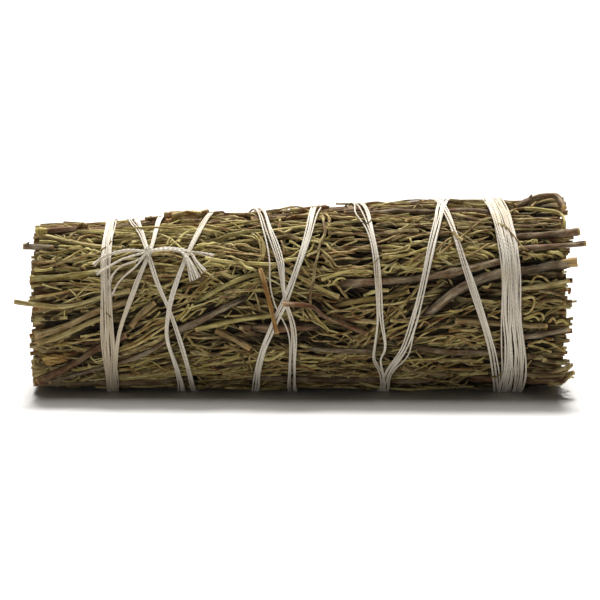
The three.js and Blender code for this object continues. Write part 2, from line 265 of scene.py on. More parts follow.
def plant_material(name, stops, light, dark, under, shade=0.78, bump=1.0):
    """Dry bark or stem: stops give its colour over the tones, light and dark its patches, and under
    what shows where its skin has peeled. By shade, the hollows of its relief go towards dark: partly
    the fissures' own colour, partly painted shade."""
    made = bpy.data.materials.new(name)
    made.use_nodes = True
    nodes = Nodes(made.node_tree)
    shader = made.node_tree.nodes["Principled BSDF"]
    grain = nodes.add("ShaderNodeAttribute", attribute_name="grain").outputs["Vector"]
    tone = nodes.add("ShaderNodeAttribute", attribute_name="tone").outputs["Fac"]
    cut = nodes.add("ShaderNodeAttribute", attribute_name="cut").outputs["Fac"]
    depth = nodes.add("ShaderNodeAttribute", attribute_name="depth").outputs["Fac"]
    bark = nodes.add("ShaderNodeGroup", {"Grain": grain}, node_tree=bark_grain).outputs
    colour = nodes.ramp(tone, [(place, paint(*tint)) for place, tint in stops])
    colour = nodes.mix(nodes.math("MULTIPLY", bark["Blotches"], 0.7), colour, paint(*light))
    colour = nodes.mix(nodes.math("MULTIPLY", bark["Peeled"], 0.55), colour, paint(*under))
    # the hollows of the bark's relief darken: partly the fissures' own colour, partly painted shade
    hollow = nodes.math("SUBTRACT", 1.0, bark["Height"])
    colour = nodes.mix(nodes.math("MULTIPLY", hollow, shade), colour, paint(*dark))
    colour = nodes.mix(nodes.math("MULTIPLY", bark["Flecks"], 0.5), colour, paint(*dark))
    woods = {"Wood": paint(*CUT_WOOD), "Pith": paint(*(PITH_SHARE * v for v in CUT_WOOD))}
    end = nodes.add("ShaderNodeGroup", {"Grain": grain, **woods}, node_tree=cut_wood)
    colour = nodes.mix(cut, colour, end.outputs["Color"])
    # painted shade: deep in the gaps, by the depth attribute, the colour goes almost black
    colour = nodes.mix(nodes.math("MULTIPLY", depth, 0.95), colour, paint(*PAINTED_GAP_SHADE))
    relief = {"Strength": bump, "Distance": 0.00022, "Height": bark["Height"]}
    raised = nodes.add("ShaderNodeBump", relief)
    rough = nodes.add("ShaderNodeMapRange", {"Value": bark["Height"], "To Min": 0.98, "To Max": 0.74})
    nodes.tree.links.new(colour, shader.inputs["Base Color"])
    nodes.tree.links.new(raised.outputs[0], shader.inputs["Normal"])
    nodes.tree.links.new(rough.outputs[0], shader.inputs["Roughness"])
    shader.inputs["Specular IOR Level"].default_value = 0.25
    return made


# The two ends of each bark's colours, then its light patches, its dark flecks and fissures (the
# fissures partly painted shade) and its inner skin
BARKS = {
    "grey_brown_bark": [(124, 99, 72), (158, 133, 101), (192, 172, 138), (34, 22, 12), (134, 84, 50)],
    "red_brown_bark": [(122, 86, 58), (148, 112, 80), (184, 158, 122), (36, 20, 10), (142, 82, 46)],
    "tan_stem": [(142, 117, 76), (172, 147, 100), (204, 184, 134), (54, 36, 20), (146, 98, 54)],
    "pale_stem": [(176, 156, 92), (212, 194, 130), (226, 212, 156), (84, 60, 30), (160, 128, 72)],
    "yellow_green_stem": [(162, 145, 80), (198, 182, 112), (218, 206, 142), (66, 46, 20), (134, 106, 50)],
    "olive_stem": [(122, 102, 54), (148, 128, 72), (178, 158, 98), (46, 30, 14), (116, 82, 42)],
    "ochre_wood": [(206, 176, 102), (134, 78, 40), (214, 178, 108), (78, 44, 20), (160, 100, 46)],
    "grey_bark": [(130, 111, 86), (160, 142, 113), (196, 180, 149), (40, 27, 16), (142, 90, 56)],
}
plant_finishes = {
    slot: plant_material(slot, [(0, first), (1, last)], light, dark, under)
    for slot, (first, last, light, dark, under) in BARKS.items()
}

# Tones of the small strands: bark browns below 0.4, dry green leaves above 0.5
SPRIG_TONES = [
    (0.0, (50, 32, 18)),
    (0.12, (118, 94, 66)),
    (0.24, (124, 78, 42)),
    (0.36, (162, 126, 70)),
    (0.48, (112, 85, 46)),
    (0.62, (142, 119, 62)),
    (0.78, (188, 170, 92)),
    (0.9, (228, 213, 138)),
    (1.0, (244, 234, 180)),
]
plant_finishes["dried_sprigs"] = plant_material(
    "dried_sprigs", SPRIG_TONES, (232, 214, 148), (38, 24, 12), (120, 80, 42), shade=0.5, bump=0.7
)

# The woody stems: twigs of the plant, 1 to 2.4 mm thick, with fissured bark, swellings where side
# shoots sat and a few of their stubs. Each is cut through at its ends and takes its node's place.
STEM_SIDES = 20
STEM_STEP = 0.0006  # length of one section of a stem
RIM_SHARE = 0.16  # how much of a cut end's radius the bark takes
FACE_SHARE = 0.62  # how much of it the ring of wood round the pith takes
STUB_EVERY = 0.018  # length of stem for each stub of a side shoot, at the most


def node_rings(name):
    """The middles and radii of the rings that a stem's solid is made of, from one end to the other."""
    mesh = frame["nodes"][name].data
    places = np.array([v.co for v in mesh.vertices])
    _, first, which = np.unique(
        np.round(places / 1e-6).astype(int), axis=0, return_index=True, return_inverse=True
    )
    corners = places[first]
    which = which.ravel()
    normals, beside = {}, {}
    for face in mesh.polygons:
        numbers = [which[v] for v in face.vertices]
        for corner in numbers:
            normals.setdefault(corner, []).append(face.normal)
            beside.setdefault(corner, set()).update(set(numbers) - {corner})
    middles = [c for c, found in normals.items() if all(found[0].dot(other) > 0.999 for other in found)]
    start = min(middles, key=lambda corner: corners[corner][0])
    rings, seen = [], {start}
    edge = beside[start] - seen
    while edge:
        rings.append(sorted(edge))
        seen |= edge
        edge = set().union(*(beside[corner] for corner in edge)) - seen
    rings = [corners[ring] for ring in rings if len(ring) > 1]
    centres = np.array([ring.mean(axis=0) for ring in rings])
    radii = [np.linalg.norm(ring - ring.mean(axis=0), axis=1).mean() for ring in rings]
    return centres, np.array(radii)


def smooth_line(points, step):
    """A smooth line through points, with a point about every step."""
    points = np.asarray(points, float)
    before = 2 * points[0] - points[1]
    after = 2 * points[-1] - points[-2]
    knots = np.vstack([before, points, after])
    spans = np.maximum(np.linalg.norm(np.diff(knots[:, :3], axis=0), axis=1) ** 0.5, 1e-9)
    line = []
    for i in range(1, len(knots) - 2):
        p0, p1, p2, p3 = knots[i - 1 : i + 3]
        d0, d1, d2 = spans[i - 1 : i + 2]
        leave = ((p1 - p0) / d0 - (p2 - p0) / (d0 + d1) + (p2 - p1) / d1) * d1
        arrive = ((p2 - p1) / d1 - (p3 - p1) / (d1 + d2) + (p3 - p2) / d2) * d1
        t = np.linspace(0, 1, 40, endpoint=False)[:, None]
        line.append(
            (2 * t**3 - 3 * t**2 + 1) * p1
            + (t**3 - 2 * t**2 + t) * leave
            + (3 * t**2 - 2 * t**3) * p2
            + (t**3 - t**2) * arrive
        )
    line = np.vstack([*line, points[-1:]])
    run = np.concatenate([[0], np.cumsum(np.linalg.norm(np.diff(line[:, :3], axis=0), axis=1))])
    places = np.linspace(0, run[-1], max(4, round(run[-1] / step) + 1))
    return np.stack([np.interp(places, run, column) for column in line.T], axis=1)


def add_values(mesh, name, values, kind="FLOAT"):
    layer = mesh.attributes.new(name, kind, "POINT")
    layer.data.foreach_set("vector" if kind == "FLOAT_VECTOR" else "value", np.ravel(values))


def vertex_places(mesh):
    places = np.empty(len(mesh.vertices) * 3)
    mesh.vertices.foreach_get("co", places)
    return places.reshape(-1, 3)


def select_faces(mesh, chosen):
    """Selects the faces that chosen says, in object mode, and goes to edit mode."""
    mesh.vertices.foreach_set("select", np.zeros(len(mesh.vertices), bool))
    mesh.edges.foreach_set("select", np.zeros(len(mesh.edges), bool))
    mesh.polygons.foreach_set("select", [bool(chosen(face)) for face in mesh.polygons])
    bpy.ops.object.mode_set(mode="EDIT")
    bpy.ops.mesh.select_mode(type="FACE")


def straight_stem(name, length, radius, rng):
    """A straight stem along X, with sections, bark rims on its cut ends and stubs of side shoots."""
    bpy.ops.mesh.primitive_cylinder_add(
        vertices=STEM_SIDES,
        radius=radius,
        depth=length,
        location=(length / 2, 0, 0),
        rotation=(0, math.pi / 2, 0),
    )
    stem = bpy.context.object
    stem.name = name
    bpy.ops.object.transform_apply(location=True, rotation=True, scale=True)
    mesh = stem.data
    select_faces(mesh, lambda face: False)
    bpy.ops.mesh.select_mode(type="EDGE")
    bpy.ops.object.mode_set(mode="OBJECT")
    for edge in mesh.edges:
        a, b = (mesh.vertices[v].co for v in edge.vertices)
        edge.select = bool(abs(a.x - b.x) > length / 2)
    bpy.ops.object.mode_set(mode="EDIT")
    bpy.ops.mesh.subdivide(number_cuts=max(6, round(length / STEM_STEP)))
    bpy.ops.object.mode_set(mode="OBJECT")
    select_faces(mesh, lambda face: abs(face.normal.x) > 0.9)
    bpy.ops.mesh.inset(thickness=RIM_SHARE * radius)
    bpy.ops.mesh.inset(thickness=FACE_SHARE * radius)
    bpy.ops.mesh.poke()
    bpy.ops.object.mode_set(mode="OBJECT")
    for _ in range(rng.integers(0, 1 + math.ceil(length / STUB_EVERY))):
        shoot_stub(mesh, length, radius, rng)
    return stem


def shoot_stub(mesh, length, radius, rng):
    """Draws one face of the stem out into the broken stub of a side shoot."""
    place = rng.uniform(0.12, 0.88) * length
    angle = rng.uniform(0, 2 * math.pi)
    spot = Vector((place, radius * math.cos(angle), radius * math.sin(angle)))
    nearest = min(mesh.polygons, key=lambda face: (face.center - spot).length).index
    select_faces(mesh, lambda face: face.index == nearest)
    out = Vector((rng.uniform(0.5, 1.2), math.cos(angle), math.sin(angle))).normalized()
    for reach, size in ((0.35, 0.9), (0.55, 0.75)):
        bpy.ops.mesh.extrude_region_move(TRANSFORM_OT_translate={"value": out * radius * reach})
        bpy.ops.transform.resize(value=(size, size, size))
    bpy.ops.object.mode_set(mode="OBJECT")


def apply_modifier(piece, kind, **settings):
    bpy.context.view_layer.objects.active = piece
    made = piece.modifiers.new(kind.lower(), kind)
    for key, value in settings.items():
        setattr(made, key, value)
    bpy.ops.object.modifier_apply(modifier=made.name)


def bend_along(piece, line):
    """Bends a piece that lies along X to follow a line."""
    curve = bpy.data.curves.new("stem_path", "CURVE")
    curve.dimensions = "3D"
    spline = curve.splines.new("POLY")
    spline.points.add(len(line) - 1)
    spline.points.foreach_set("co", np.hstack([line, np.ones((len(line), 1))]).ravel())
    path = bpy.data.objects.new("stem_path", curve)
    bpy.context.collection.objects.link(path)
    apply_modifier(piece, "CURVE", object=path, deform_axis="POS_X")
    bpy.data.objects.remove(path)
    bpy.data.curves.remove(curve)


bark_relief = bpy.data.textures.new("bark_relief", "CLOUDS")
bark_relief.noise_scale = 0.0007
bark_relief.noise_depth = 3


def roughen_bark(piece, radius, rng):
    """Raises ridges three times longer than wide all over a straight stem."""
    bpy.ops.object.empty_add(location=(rng.uniform(-9, 9), 0, 0))
    stretch = bpy.context.object
    stretch.scale = (3.5, 1, 1)
    bpy.context.view_layer.update()
    apply_modifier(
        piece,
        "DISPLACE",
        texture=bark_relief,
        texture_coords="OBJECT",
        texture_coords_object=stretch,
        strength=0.5 * radius,
    )
    bpy.data.objects.remove(stretch)


def shape_stem(mesh, length, radii, rng):
    """Gives a straight stem its girth, swellings, flat sides and fissures."""
    places = vertex_places(mesh)
    along = np.clip(places[:, 0] / length, 0, 1)
    girth = np.interp(along, np.linspace(0, 1, len(radii)), radii / radii.mean())
    for _ in range(rng.integers(2, 3 + math.ceil(length / 0.02))):
        place, size = rng.uniform(0, 1), rng.uniform(0.08, 0.22)
        girth *= 1 + size * np.exp(-(((along - place) * length / (1.1 * radii.mean())) ** 2))
    angle = np.arctan2(places[:, 2], places[:, 1])
    phase = rng.uniform(0, 2 * math.pi, 4)
    wander = 0.9 * np.sin(places[:, 0] / 0.006 + phase[3])
    furrows = 0.045 * np.sin(3 * angle + phase[0] + wander) + 0.05 * np.sin(5 * angle + phase[1] - wander)
    furrows += 0.035 * np.sin(8 * angle + phase[2] + 1.7 * wander)
    places[:, 1:] *= (girth * (1 + furrows))[:, None]
    mesh.vertices.foreach_set("co", places.ravel())


# How far the bark is stripped at the left and right end of a stem, in mm
BARE_ENDS = {"ochre_end_stem": (1.9, 0), "thick_forked_stem": (0, 2.3), "broken_stick": (0, 1.3)}
TORN_BARE = (0.2, 0.5)  # at the ends of the others


def grain_values(mesh, length, bare, tone, rng):
    """Stores the straight coordinates, the tone and the bare ends before the stem is bent."""
    places = vertex_places(mesh)
    rim = np.zeros(len(places))
    ends = np.abs(places[:, 0] - length / 2) > length / 2 - 1e-6
    across = np.hypot(places[:, 1], places[:, 2])
    widest = across[ends].max()
    rim[ends & (across < (1 - 0.7 * RIM_SHARE) * widest)] = 1
    turn = np.arctan2(places[:, 2], places[:, 1])
    for reach, from_end in zip(bare, (places[:, 0], length - places[:, 0]), strict=True):
        torn = reach * MM * (1 + 0.35 * np.sin(2 * turn + rng.uniform(0, 6)) + 0.2 * np.sin(5 * turn))
        rim = np.maximum(rim, np.clip((torn - from_end) / 0.0003, 0, 1))
    add_values(mesh, "cut", rim)
    add_values(mesh, "tone", np.full(len(places), tone))
    add_values(mesh, "grain", places / MM + [rng.uniform(0, 500), 0, 0], "FLOAT_VECTOR")


# Stems whose left (0) or right (1) end dips under the fine stems beside it
DIPPING_ENDS = {
    "pink_grey_stem": [0],
    "thick_forked_stem": [0],
    "brown_stem_middle": [0, 1],
    "red_brown_stem_middle": [0, 1],
    "grey_diagonal_stem": [1],
    "yellow_green_stem_middle": [0, 1],
    "yellow_green_stem_upper": [0, 1],
    "bark_stem_lower_right": [0],
    "grey_stem_lower": [0, 1],
    "olive_stem": [0],
    "thick_stem_bottom_right": [0],
    "brown_stem_bottom": [0, 1],
    "grey_stem_right": [0],
    "pale_stem_right": [0],
}
DIP, DIP_REACH = 0.0016, 0.007
DIPPED = 0.55  # from this share of the dip on, the fine stems pay no heed to the stem
SWAY = 0.00016  # how far a stem wavers to either side
ORANGE_TONE = 0.65
SMOOTH_ANGLE = math.radians(50)


def dipped(node, line):
    """A stem's line with its dipping ends let down, and which of its points still show."""
    from_left = np.arange(len(line)) * STEM_STEP
    shows = np.ones(len(line), bool)
    for end in DIPPING_ENDS.get(node, []):
        near = np.clip(1 - np.abs(from_left - end * from_left[-1]) / DIP_REACH, 0, 1)
        _, degrees, _ = where_on_bundle(line)
        line = line - DIP * (near**1.5)[:, None] * outward(degrees)
        shows &= near < DIPPED
    return line, shows


def woody_stem(node, slot_name, seed):
    """Models one stem and returns where it shows and how thick it is."""
    rng = np.random.default_rng(seed)
    centres, radii = node_rings(node)
    line, shows = dipped(node, smooth_line(centres, STEM_STEP))
    length = np.linalg.norm(np.diff(line, axis=0), axis=1).sum()
    run = np.linspace(0, length, len(line))[:, None]
    sway = np.sin(run / rng.uniform(0.002, 0.005, 3) + rng.uniform(0, 6, 3))
    line = line + SWAY * sway * [0, 1, 1]
    radius = radii.mean()
    stem = straight_stem(f"{node}_wood", length, radius, rng)
    shape_stem(stem.data, length, radii, rng)
    bare = BARE_ENDS.get(node, rng.uniform(*TORN_BARE, 2))
    tone = ORANGE_TONE if node == "orange_twig" else rng.uniform(0, 0.8)
    grain_values(stem.data, length, bare, tone, rng)
    roughen_bark(stem, radius, rng)
    bend_along(stem, line)
    # painted shade where the stem lies deep in the bundle
    add_values(stem.data, "depth", painted_shade_share(vertex_places(stem.data)))
    bpy.ops.object.select_all(action="DESELECT")
    stem.select_set(True)
    bpy.ops.object.shade_smooth_by_angle(angle=SMOOTH_ANGLE)
    bpy.ops.object.select_all(action="DESELECT")
    stem.data.materials.append(plant_finishes[slot_name])
    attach(stem, "root")
    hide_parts(node)
    return line[shows], radius


STEM_WORDS = ("stem", "stub", "twig", "stick")
stem_slots = {
    part["node"]: part["material_slot"]
    for part in frame["record"]["subparts"]
    if any(word in part["node"] for word in STEM_WORDS)
}
woody_lines = [woody_stem(node, slot, seed) for seed, (node, slot) in enumerate(stem_slots.items())]

# The flat split of wood near the leafy end, torn from a thicker stem: its solid's form, with the
# torn fibres raised along it. It goes from ochre to brown along its length.
TORN_DEPTH = 0.00012
chip = bpy.data.objects.new("ochre_chip_split", frame["nodes"]["ochre_chip"].data.copy())
bpy.context.collection.objects.link(chip)
bpy.context.view_layer.objects.active = chip
chip.select_set(True)
chip.data.materials.clear()
bpy.ops.object.mode_set(mode="EDIT")
bpy.ops.mesh.select_all(action="SELECT")
bpy.ops.mesh.remove_doubles(threshold=1e-6)
bpy.ops.mesh.tris_convert_to_quads()
bpy.ops.mesh.subdivide(number_cuts=5, smoothness=0)
bpy.ops.object.mode_set(mode="OBJECT")
bpy.ops.object.select_all(action="DESELECT")
places = vertex_places(chip.data)
fibres = np.sin(2.1 * places[:, 0] / MM + 9 * places[:, 2] / MM)
places += TORN_DEPTH * fibres[:, None] * np.array([0.4, -1, 0.6])
chip.data.vertices.foreach_set("co", places.ravel())
add_values(chip.data, "grain", places / MM, "FLOAT_VECTOR")
add_values(chip.data, "tone", np.clip((places[:, 0] / MM + 50) / 6, 0, 1))
add_values(chip.data, "cut", np.zeros(len(places)))
# painted shade in the gaps, weaker on the chip
add_values(chip.data, "depth", 0.6 * painted_shade_share(places))
chip.data.materials.append(plant_finishes["ochre_wood"])
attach(chip, "root")
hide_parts("ochre_chip")


# The fine stems inside the bundle: they fill it from end to end, so that its cut ends show stem
# beside stem and its gaps are dark.
def tube_faces(sections, sides):
    """The quads along a closed tube and the fans over its ends, as numbers of its vertices."""
    j = np.arange(sides)
    k = (j + 1) % sides
    low = (np.arange(sections - 1) * sides)[:, None]
    quads = np.stack([low + j, low + sides + j, low + sides + k, low + k], axis=-1).reshape(-1, 4)
    first_middle, top = sections * sides, (sections - 1) * sides
    first_fan = np.stack([np.full(sides, first_middle), j, k], axis=1)
    last_fan = np.stack([np.full(sides, first_middle + 1), top + k, top + j], axis=1)
    return quads, np.concatenate([first_fan, last_fan])


def mesh_of_tubes(name, places, quads, fans):
    """One mesh of many tubes alike. places are tube x vertex x 3."""
    count, vertices = places.shape[:2]
    base = (np.arange(count) * vertices)[:, None, None]
    corners = np.concatenate([(quads + base).ravel(), (fans + base).ravel()]).astype(np.int32)
    quad_starts = np.arange(count * len(quads)) * 4
    fan_starts = count * len(quads) * 4 + np.arange(count * len(fans)) * 3
    starts = np.concatenate([quad_starts, fan_starts]).astype(np.int32)
    mesh = bpy.data.meshes.new(name)
    mesh.vertices.add(count * vertices)
    mesh.vertices.foreach_set("co", places.ravel())
    mesh.loops.add(len(corners))
    mesh.loops.foreach_set("vertex_index", corners)
    mesh.polygons.add(len(starts))
    mesh.polygons.foreach_set("loop_start", starts)
    mesh.update(calc_edges=True)
    mesh.validate()
    return mesh


GRAIN_SHIFT = 37.0  # mm from one strand's grain to the next one's, so that no two look alike


def join_strands(name, lines, radii, outs, tones, sides, flat=1.0, cut=True):
    """One mesh of many closed strands. lines and outs are strand x section x 3, radii strand x
    section. With cut ends, a rim of bark stands round the pale wood."""
    count = len(radii)
    runs = np.cumsum(np.linalg.norm(np.diff(lines, axis=1, prepend=lines[:, :1]), axis=2), axis=1)
    ahead = np.gradient(lines, axis=1)
    ahead /= np.linalg.norm(ahead, axis=2, keepdims=True)
    outs = outs - (outs * ahead).sum(axis=2, keepdims=True) * ahead
    outs /= np.linalg.norm(outs, axis=2, keepdims=True)
    aside = np.cross(ahead, outs)
    masks = np.zeros(radii.shape)
    if cut:
        order = [0, *range(radii.shape[1]), radii.shape[1] - 1]
        lines, outs, aside, runs, radii = (v[:, order] for v in (lines, outs, aside, runs, radii))
        radii[:, [0, -1]] *= 1 - RIM_SHARE
        masks = np.zeros(radii.shape)
        masks[:, [0, -1]] = 1
    turns = np.arange(sides) * 2 * math.pi / sides
    across, upright = np.cos(turns), flat * np.sin(turns)
    ring = across[:, None] * aside[:, :, None] + upright[:, None] * outs[:, :, None]
    rings = lines[:, :, None] + radii[..., None, None] * ring
    places = np.concatenate([rings.reshape(count, -1, 3), lines[:, [0, -1]]], axis=1)
    run_round = np.broadcast_to(runs[..., None], rings.shape[:3])
    grain = np.stack([run_round, radii[..., None] * across, radii[..., None] * upright], axis=-1)
    end_grain = np.zeros((count, 2, 3))
    end_grain[:, :, 0] = runs[:, [0, -1]]
    grain = np.concatenate([grain.reshape(count, -1, 3), end_grain], axis=1) / MM
    grain[:, :, 0] += GRAIN_SHIFT * np.arange(count)[:, None]
    masks = np.concatenate([np.repeat(masks, sides, axis=1), np.full((count, 2), float(cut))], axis=1)
    mesh = mesh_of_tubes(name, places, *tube_faces(radii.shape[1], sides))
    add_values(mesh, "grain", grain, "FLOAT_VECTOR")
    add_values(mesh, "tone", np.repeat(tones, places.shape[1]))
    add_values(mesh, "cut", masks)
    # painted shade where the strands lie deep in the bundle
    add_values(mesh, "depth", painted_shade_share(places.reshape(-1, 3)))
    piece = bpy.data.objects.new(name, mesh)
    bpy.context.collection.objects.link(piece)
    bpy.context.view_layer.objects.active = piece
    piece.select_set(True)
    bpy.ops.object.shade_smooth_by_angle(angle=SMOOTH_ANGLE)
    bpy.ops.object.select_all(action="DESELECT")
    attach(piece, "root")
    return piece


def dress_sprigs(piece):
    piece.data.materials.append(plant_finishes["dried_sprigs"])
    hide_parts("packed_sprigs")


INNER_SPACING, INNER_JITTER = 0.00126, 0.00022
ROW_SHARE = 0.87  # of the spacing, between the rows of a honeycomb
LEFT_SPARE = 0.0007  # how much further the leafy end reaches
INNER_REACH = 0.90  # share of the bundle's radius that the inner stems fill
rng = np.random.default_rng(11)
rows = math.ceil(2 * MIDDLE_RADIUS / (INNER_SPACING * ROW_SHARE))
grid = np.array(
    [
        ((column + 0.5 * (row % 2)) * INNER_SPACING, row * INNER_SPACING * ROW_SHARE)
        for row in range(-rows, rows)
        for column in range(-rows, rows)
    ]
)
grid += rng.normal(0, INNER_JITTER, grid.shape)
shares = np.hypot(*grid.T) / MIDDLE_RADIUS
inner = grid[shares < INNER_REACH]
shares = shares[shares < INNER_REACH]
turned = np.degrees(np.arctan2(inner[:, 1], inner[:, 0]))[:, None]
steps = np.linspace(-1, 1, 3)
reach = BUNDLE_LENGTH / 2 + rng.uniform(-0.0006, 0.0008, (len(inner), 1)) * np.abs(steps)
x = steps * reach + LEFT_SPARE / 2 * (steps - 1)
drift = rng.normal(0, 2.5, (len(inner), 1)) * steps
sizes = rng.choice([0.00034, 0.00048, 0.00062, 0.00078], len(inner), p=[0.3, 0.3, 0.25, 0.15])
inner_lines = on_bundle(x, turned + drift, -(1 - shares[:, None]) * radius_at(x))
inner_radii = sizes[:, None] * (1 + 0.12 * steps + rng.normal(0, 0.04, x.shape))
# only the dark bark tones: brown stems, and partly painted shade for the dark deep inside
inner_tones = rng.uniform(0.0, 0.3, len(inner))
dress_sprigs(
    join_strands(
        "inner_fine_stems", inner_lines, inner_radii, outward(turned + 0 * x), inner_tones, sides=7
    )
)


# The fine stems of the outer layers: 0.5 to 1.3 mm thick and 1 to 10 cm long. They lie along the
# woody stems beside them, which pressed them flat, and pass underneath.
CHIP_SIZE = 0.0011  # the chip too lies over what crosses it, this far on either side
guides = []
for line, radius in woody_lines:
    x, degrees, _ = where_on_bundle(line[::3])
    degrees = np.degrees(np.unwrap(np.radians(degrees)))
    rise = np.gradient(np.radians(degrees)) * MIDDLE_RADIUS
    heading = np.degrees(np.arctan2(rise, np.gradient(x)))
    guides.append((x, degrees, heading, np.full(len(x), radius)))
x, degrees, _ = where_on_bundle(vertex_places(chip.data))
guides.append((x, degrees, np.zeros(len(x)), np.full(len(x), CHIP_SIZE)))
guide_x, guide_degrees, guide_heading, guide_size = (np.concatenate(v) for v in zip(*guides, strict=True))


def away_from_guides(x, degrees):
    """Distance over the surface from places to each point of the woody stems, as a table."""
    around = (np.ravel(degrees)[:, None] - guide_degrees + 180) % 360 - 180
    return np.hypot(np.ravel(x)[:, None] - guide_x, np.radians(around) * MIDDLE_RADIUS)


LIE_REACH = 0.0045  # how far a woody stem turns the fine stems beside it
LIE_FLAT = 0.8  # weight of the bundle's own length in that


def lie_of_stems(x, degrees):
    """The direction in which stems lie at a place, in degrees from the bundle's length."""
    weight = np.exp(-((away_from_guides(x, degrees) / LIE_REACH) ** 2))
    total = weight.sum(axis=1) + LIE_FLAT
    return ((weight * guide_heading).sum(axis=1) / total).reshape(np.shape(x))


DIVE_REACH = 0.0007  # over which a strand goes down beside the stem it crosses


def pass_under(x, degrees, lift, size):
    """Lowers what crosses a woody stem, so that it passes underneath."""
    gaps = away_from_guides(x, degrees)
    nearest = gaps.argmin(axis=1)
    gap = gaps[np.arange(len(gaps)), nearest].reshape(lift.shape)
    stem = guide_size[nearest].reshape(lift.shape)
    under = np.clip((stem + size + DIVE_REACH - gap) / DIVE_REACH, 0, 1)
    return np.minimum(lift, lift + under * (-2 * stem - 0.6 * size - lift))


def waves(t, pace, count, rng):
    """A sine along each of count strands, with a pace and a start of its own."""
    paces = rng.uniform(*pace, (count, 1))
    return np.sin(2 * math.pi * (t * paces + rng.uniform(0, 1, (count, 1))))


def laid_lines(x, degrees, heading, length, bend, wiggle, sections, rng):
    """Lines over the surface from x and degrees on, with the heading that bend and wiggle turn."""
    t = np.linspace(0, 1, sections)
    wander = waves(t, (0.6, 1.6), len(x), rng) + 0.7 * waves(t, (2.0, 3.2), len(x), rng)
    turned_to = np.radians(heading[:, None] + bend[:, None] * (t - 0.3) + wiggle[:, None] * wander)
    step = length[:, None] / (sections - 1)
    moved_x = np.cumsum(np.cos(turned_to) * step, axis=1) - np.cos(turned_to[:, :1]) * step
    moved_up = np.cumsum(np.sin(turned_to) * step, axis=1) - np.sin(turned_to[:, :1]) * step
    return x[:, None] + moved_x, degrees[:, None] + np.degrees(moved_up / MIDDLE_RADIUS)


FINE_SECTIONS = 14
SPREAD_ALONG = (-0.053, 0.053)  # where the strands' middles lie


def fine_stems(name, count, around, depth, sizes, lengths, tones, sides, rng):
    """A layer of fine stems at a depth under the bundle's surface, over a range of degrees round it.
    Depth, sizes and lengths are ranges in mm."""
    middle_x = rng.uniform(*SPREAD_ALONG, count)
    degrees = rng.uniform(*around, count)
    length = rng.uniform(*lengths, count) * MM
    size = rng.uniform(*sizes, count) * MM
    heading = lie_of_stems(middle_x, degrees) + rng.normal(0, 8, count)
    start = middle_x - length / 2 * np.cos(np.radians(heading))
    limit = BUNDLE_LENGTH / 2 + rng.uniform(-0.0002, 0.0010, count)
    start = np.clip(start, -limit - LEFT_SPARE, limit - length * 0.98)
    degrees = degrees - np.degrees(length / 2 * np.sin(np.radians(heading)) / MIDDLE_RADIUS)
    bend, wiggle = rng.normal(0, 9, count), np.full(count, 3.0)
    x, degrees = laid_lines(start, degrees, heading, length, bend, wiggle, FINE_SECTIONS, rng)
    t = np.linspace(0, 1, FINE_SECTIONS)
    sway = 0.00022 * waves(t, (0.5, 1.5), count, rng)
    lift = -rng.uniform(*depth, (count, 1)) * MM - size[:, None] + sway
    lift = pass_under(x, degrees, lift, size[:, None])
    radii = size[:, None] * (1.1 - 0.25 * t + rng.normal(0, 0.09, x.shape))
    tones = rng.uniform(*tones, count)
    dress_sprigs(join_strands(name, on_bundle(x, degrees, lift), radii, outward(degrees), tones, sides))


ALL_ROUND, HIDDEN, FRONT, TOP = (-180, 180), (76, 290), (-70, 76), (70, 104)
# How many of them, degrees round the bundle, depth, radius and length in mm, tones and sides
FINE_LAYERS = {
    # the deep layer takes only the dark bark tones: brown stems, and partly painted shade
    "deep_fine_stems": (330, ALL_ROUND, (1.2, 2.8), (0.3, 0.65), (40, 100), (0, 0.3), 5),
    "outer_fine_stems": (430, ALL_ROUND, (0.5, 1.6), (0.26, 0.55), (12, 45), (0.05, 0.6), 6),
    "back_fine_stems": (230, HIDDEN, (-0.2, 0.5), (0.3, 0.6), (12, 50), (0.06, 0.6), 6),
}
rng = np.random.default_rng(23)
for name, layer in FINE_LAYERS.items():
    fine_stems(name, *layer, rng)


# The wiry shoots: bare thin shoots of last year, 0.3 to 0.6 mm thick, which wander between and over
# the fine stems. They are dry green, straw or brown.
WIRY_SECTIONS = 11
WIRY_TOP = 0.0003  # lift that none of them passes by more than its group stands proud


def wiry_shoots(name, count, around, proud, rng):
    """Shoots over a range of degrees round the bundle, some of them proud of its surface."""
    x = rng.uniform(*SPREAD_ALONG, count)
    degrees = rng.uniform(*around, count)
    length = rng.uniform(0.009, 0.032, count)
    size = rng.uniform(0.00014, 0.00028, count)
    heading = lie_of_stems(x, degrees) + rng.normal(0, 13, count)
    x = x - length / 2 * np.cos(np.radians(heading))
    bend, wiggle = rng.normal(0, 26, count), rng.uniform(1, 11, count)
    x, degrees = laid_lines(x, degrees, heading, length, bend, wiggle, WIRY_SECTIONS, rng)
    inside = np.abs(x).max(axis=1) < BUNDLE_LENGTH / 2 + 0.0006
    x, degrees, size = x[inside], degrees[inside], size[inside, None]
    t = np.linspace(0, 1, WIRY_SECTIONS)
    sway = 0.0003 * waves(t, (0.6, 1.6), len(x), rng)
    lift = -rng.uniform(-proud, 0.0016, size.shape) - size + sway
    lift = np.minimum(pass_under(x, degrees, lift, size), WIRY_TOP + proud)
    green = rng.random(len(x)) < 0.6 - 0.3 * x.mean(axis=1) / (BUNDLE_LENGTH / 2)
    tones = np.where(green, rng.uniform(0.5, 0.97, len(x)), rng.uniform(0.05, 0.5, len(x)))
    radii = size * (1.15 - 0.4 * t + rng.normal(0, 0.12, x.shape))
    dress_sprigs(join_strands(name, on_bundle(x, degrees, lift), radii, outward(degrees), tones, sides=5))


wiry_shoots("front_wiry_shoots", 520, FRONT, 0.0001, rng)
wiry_shoots("back_wiry_shoots", 850, HIDDEN, 0.0001, rng)
wiry_shoots("top_wiry_shoots", 150, TOP, 0.0007, rng)

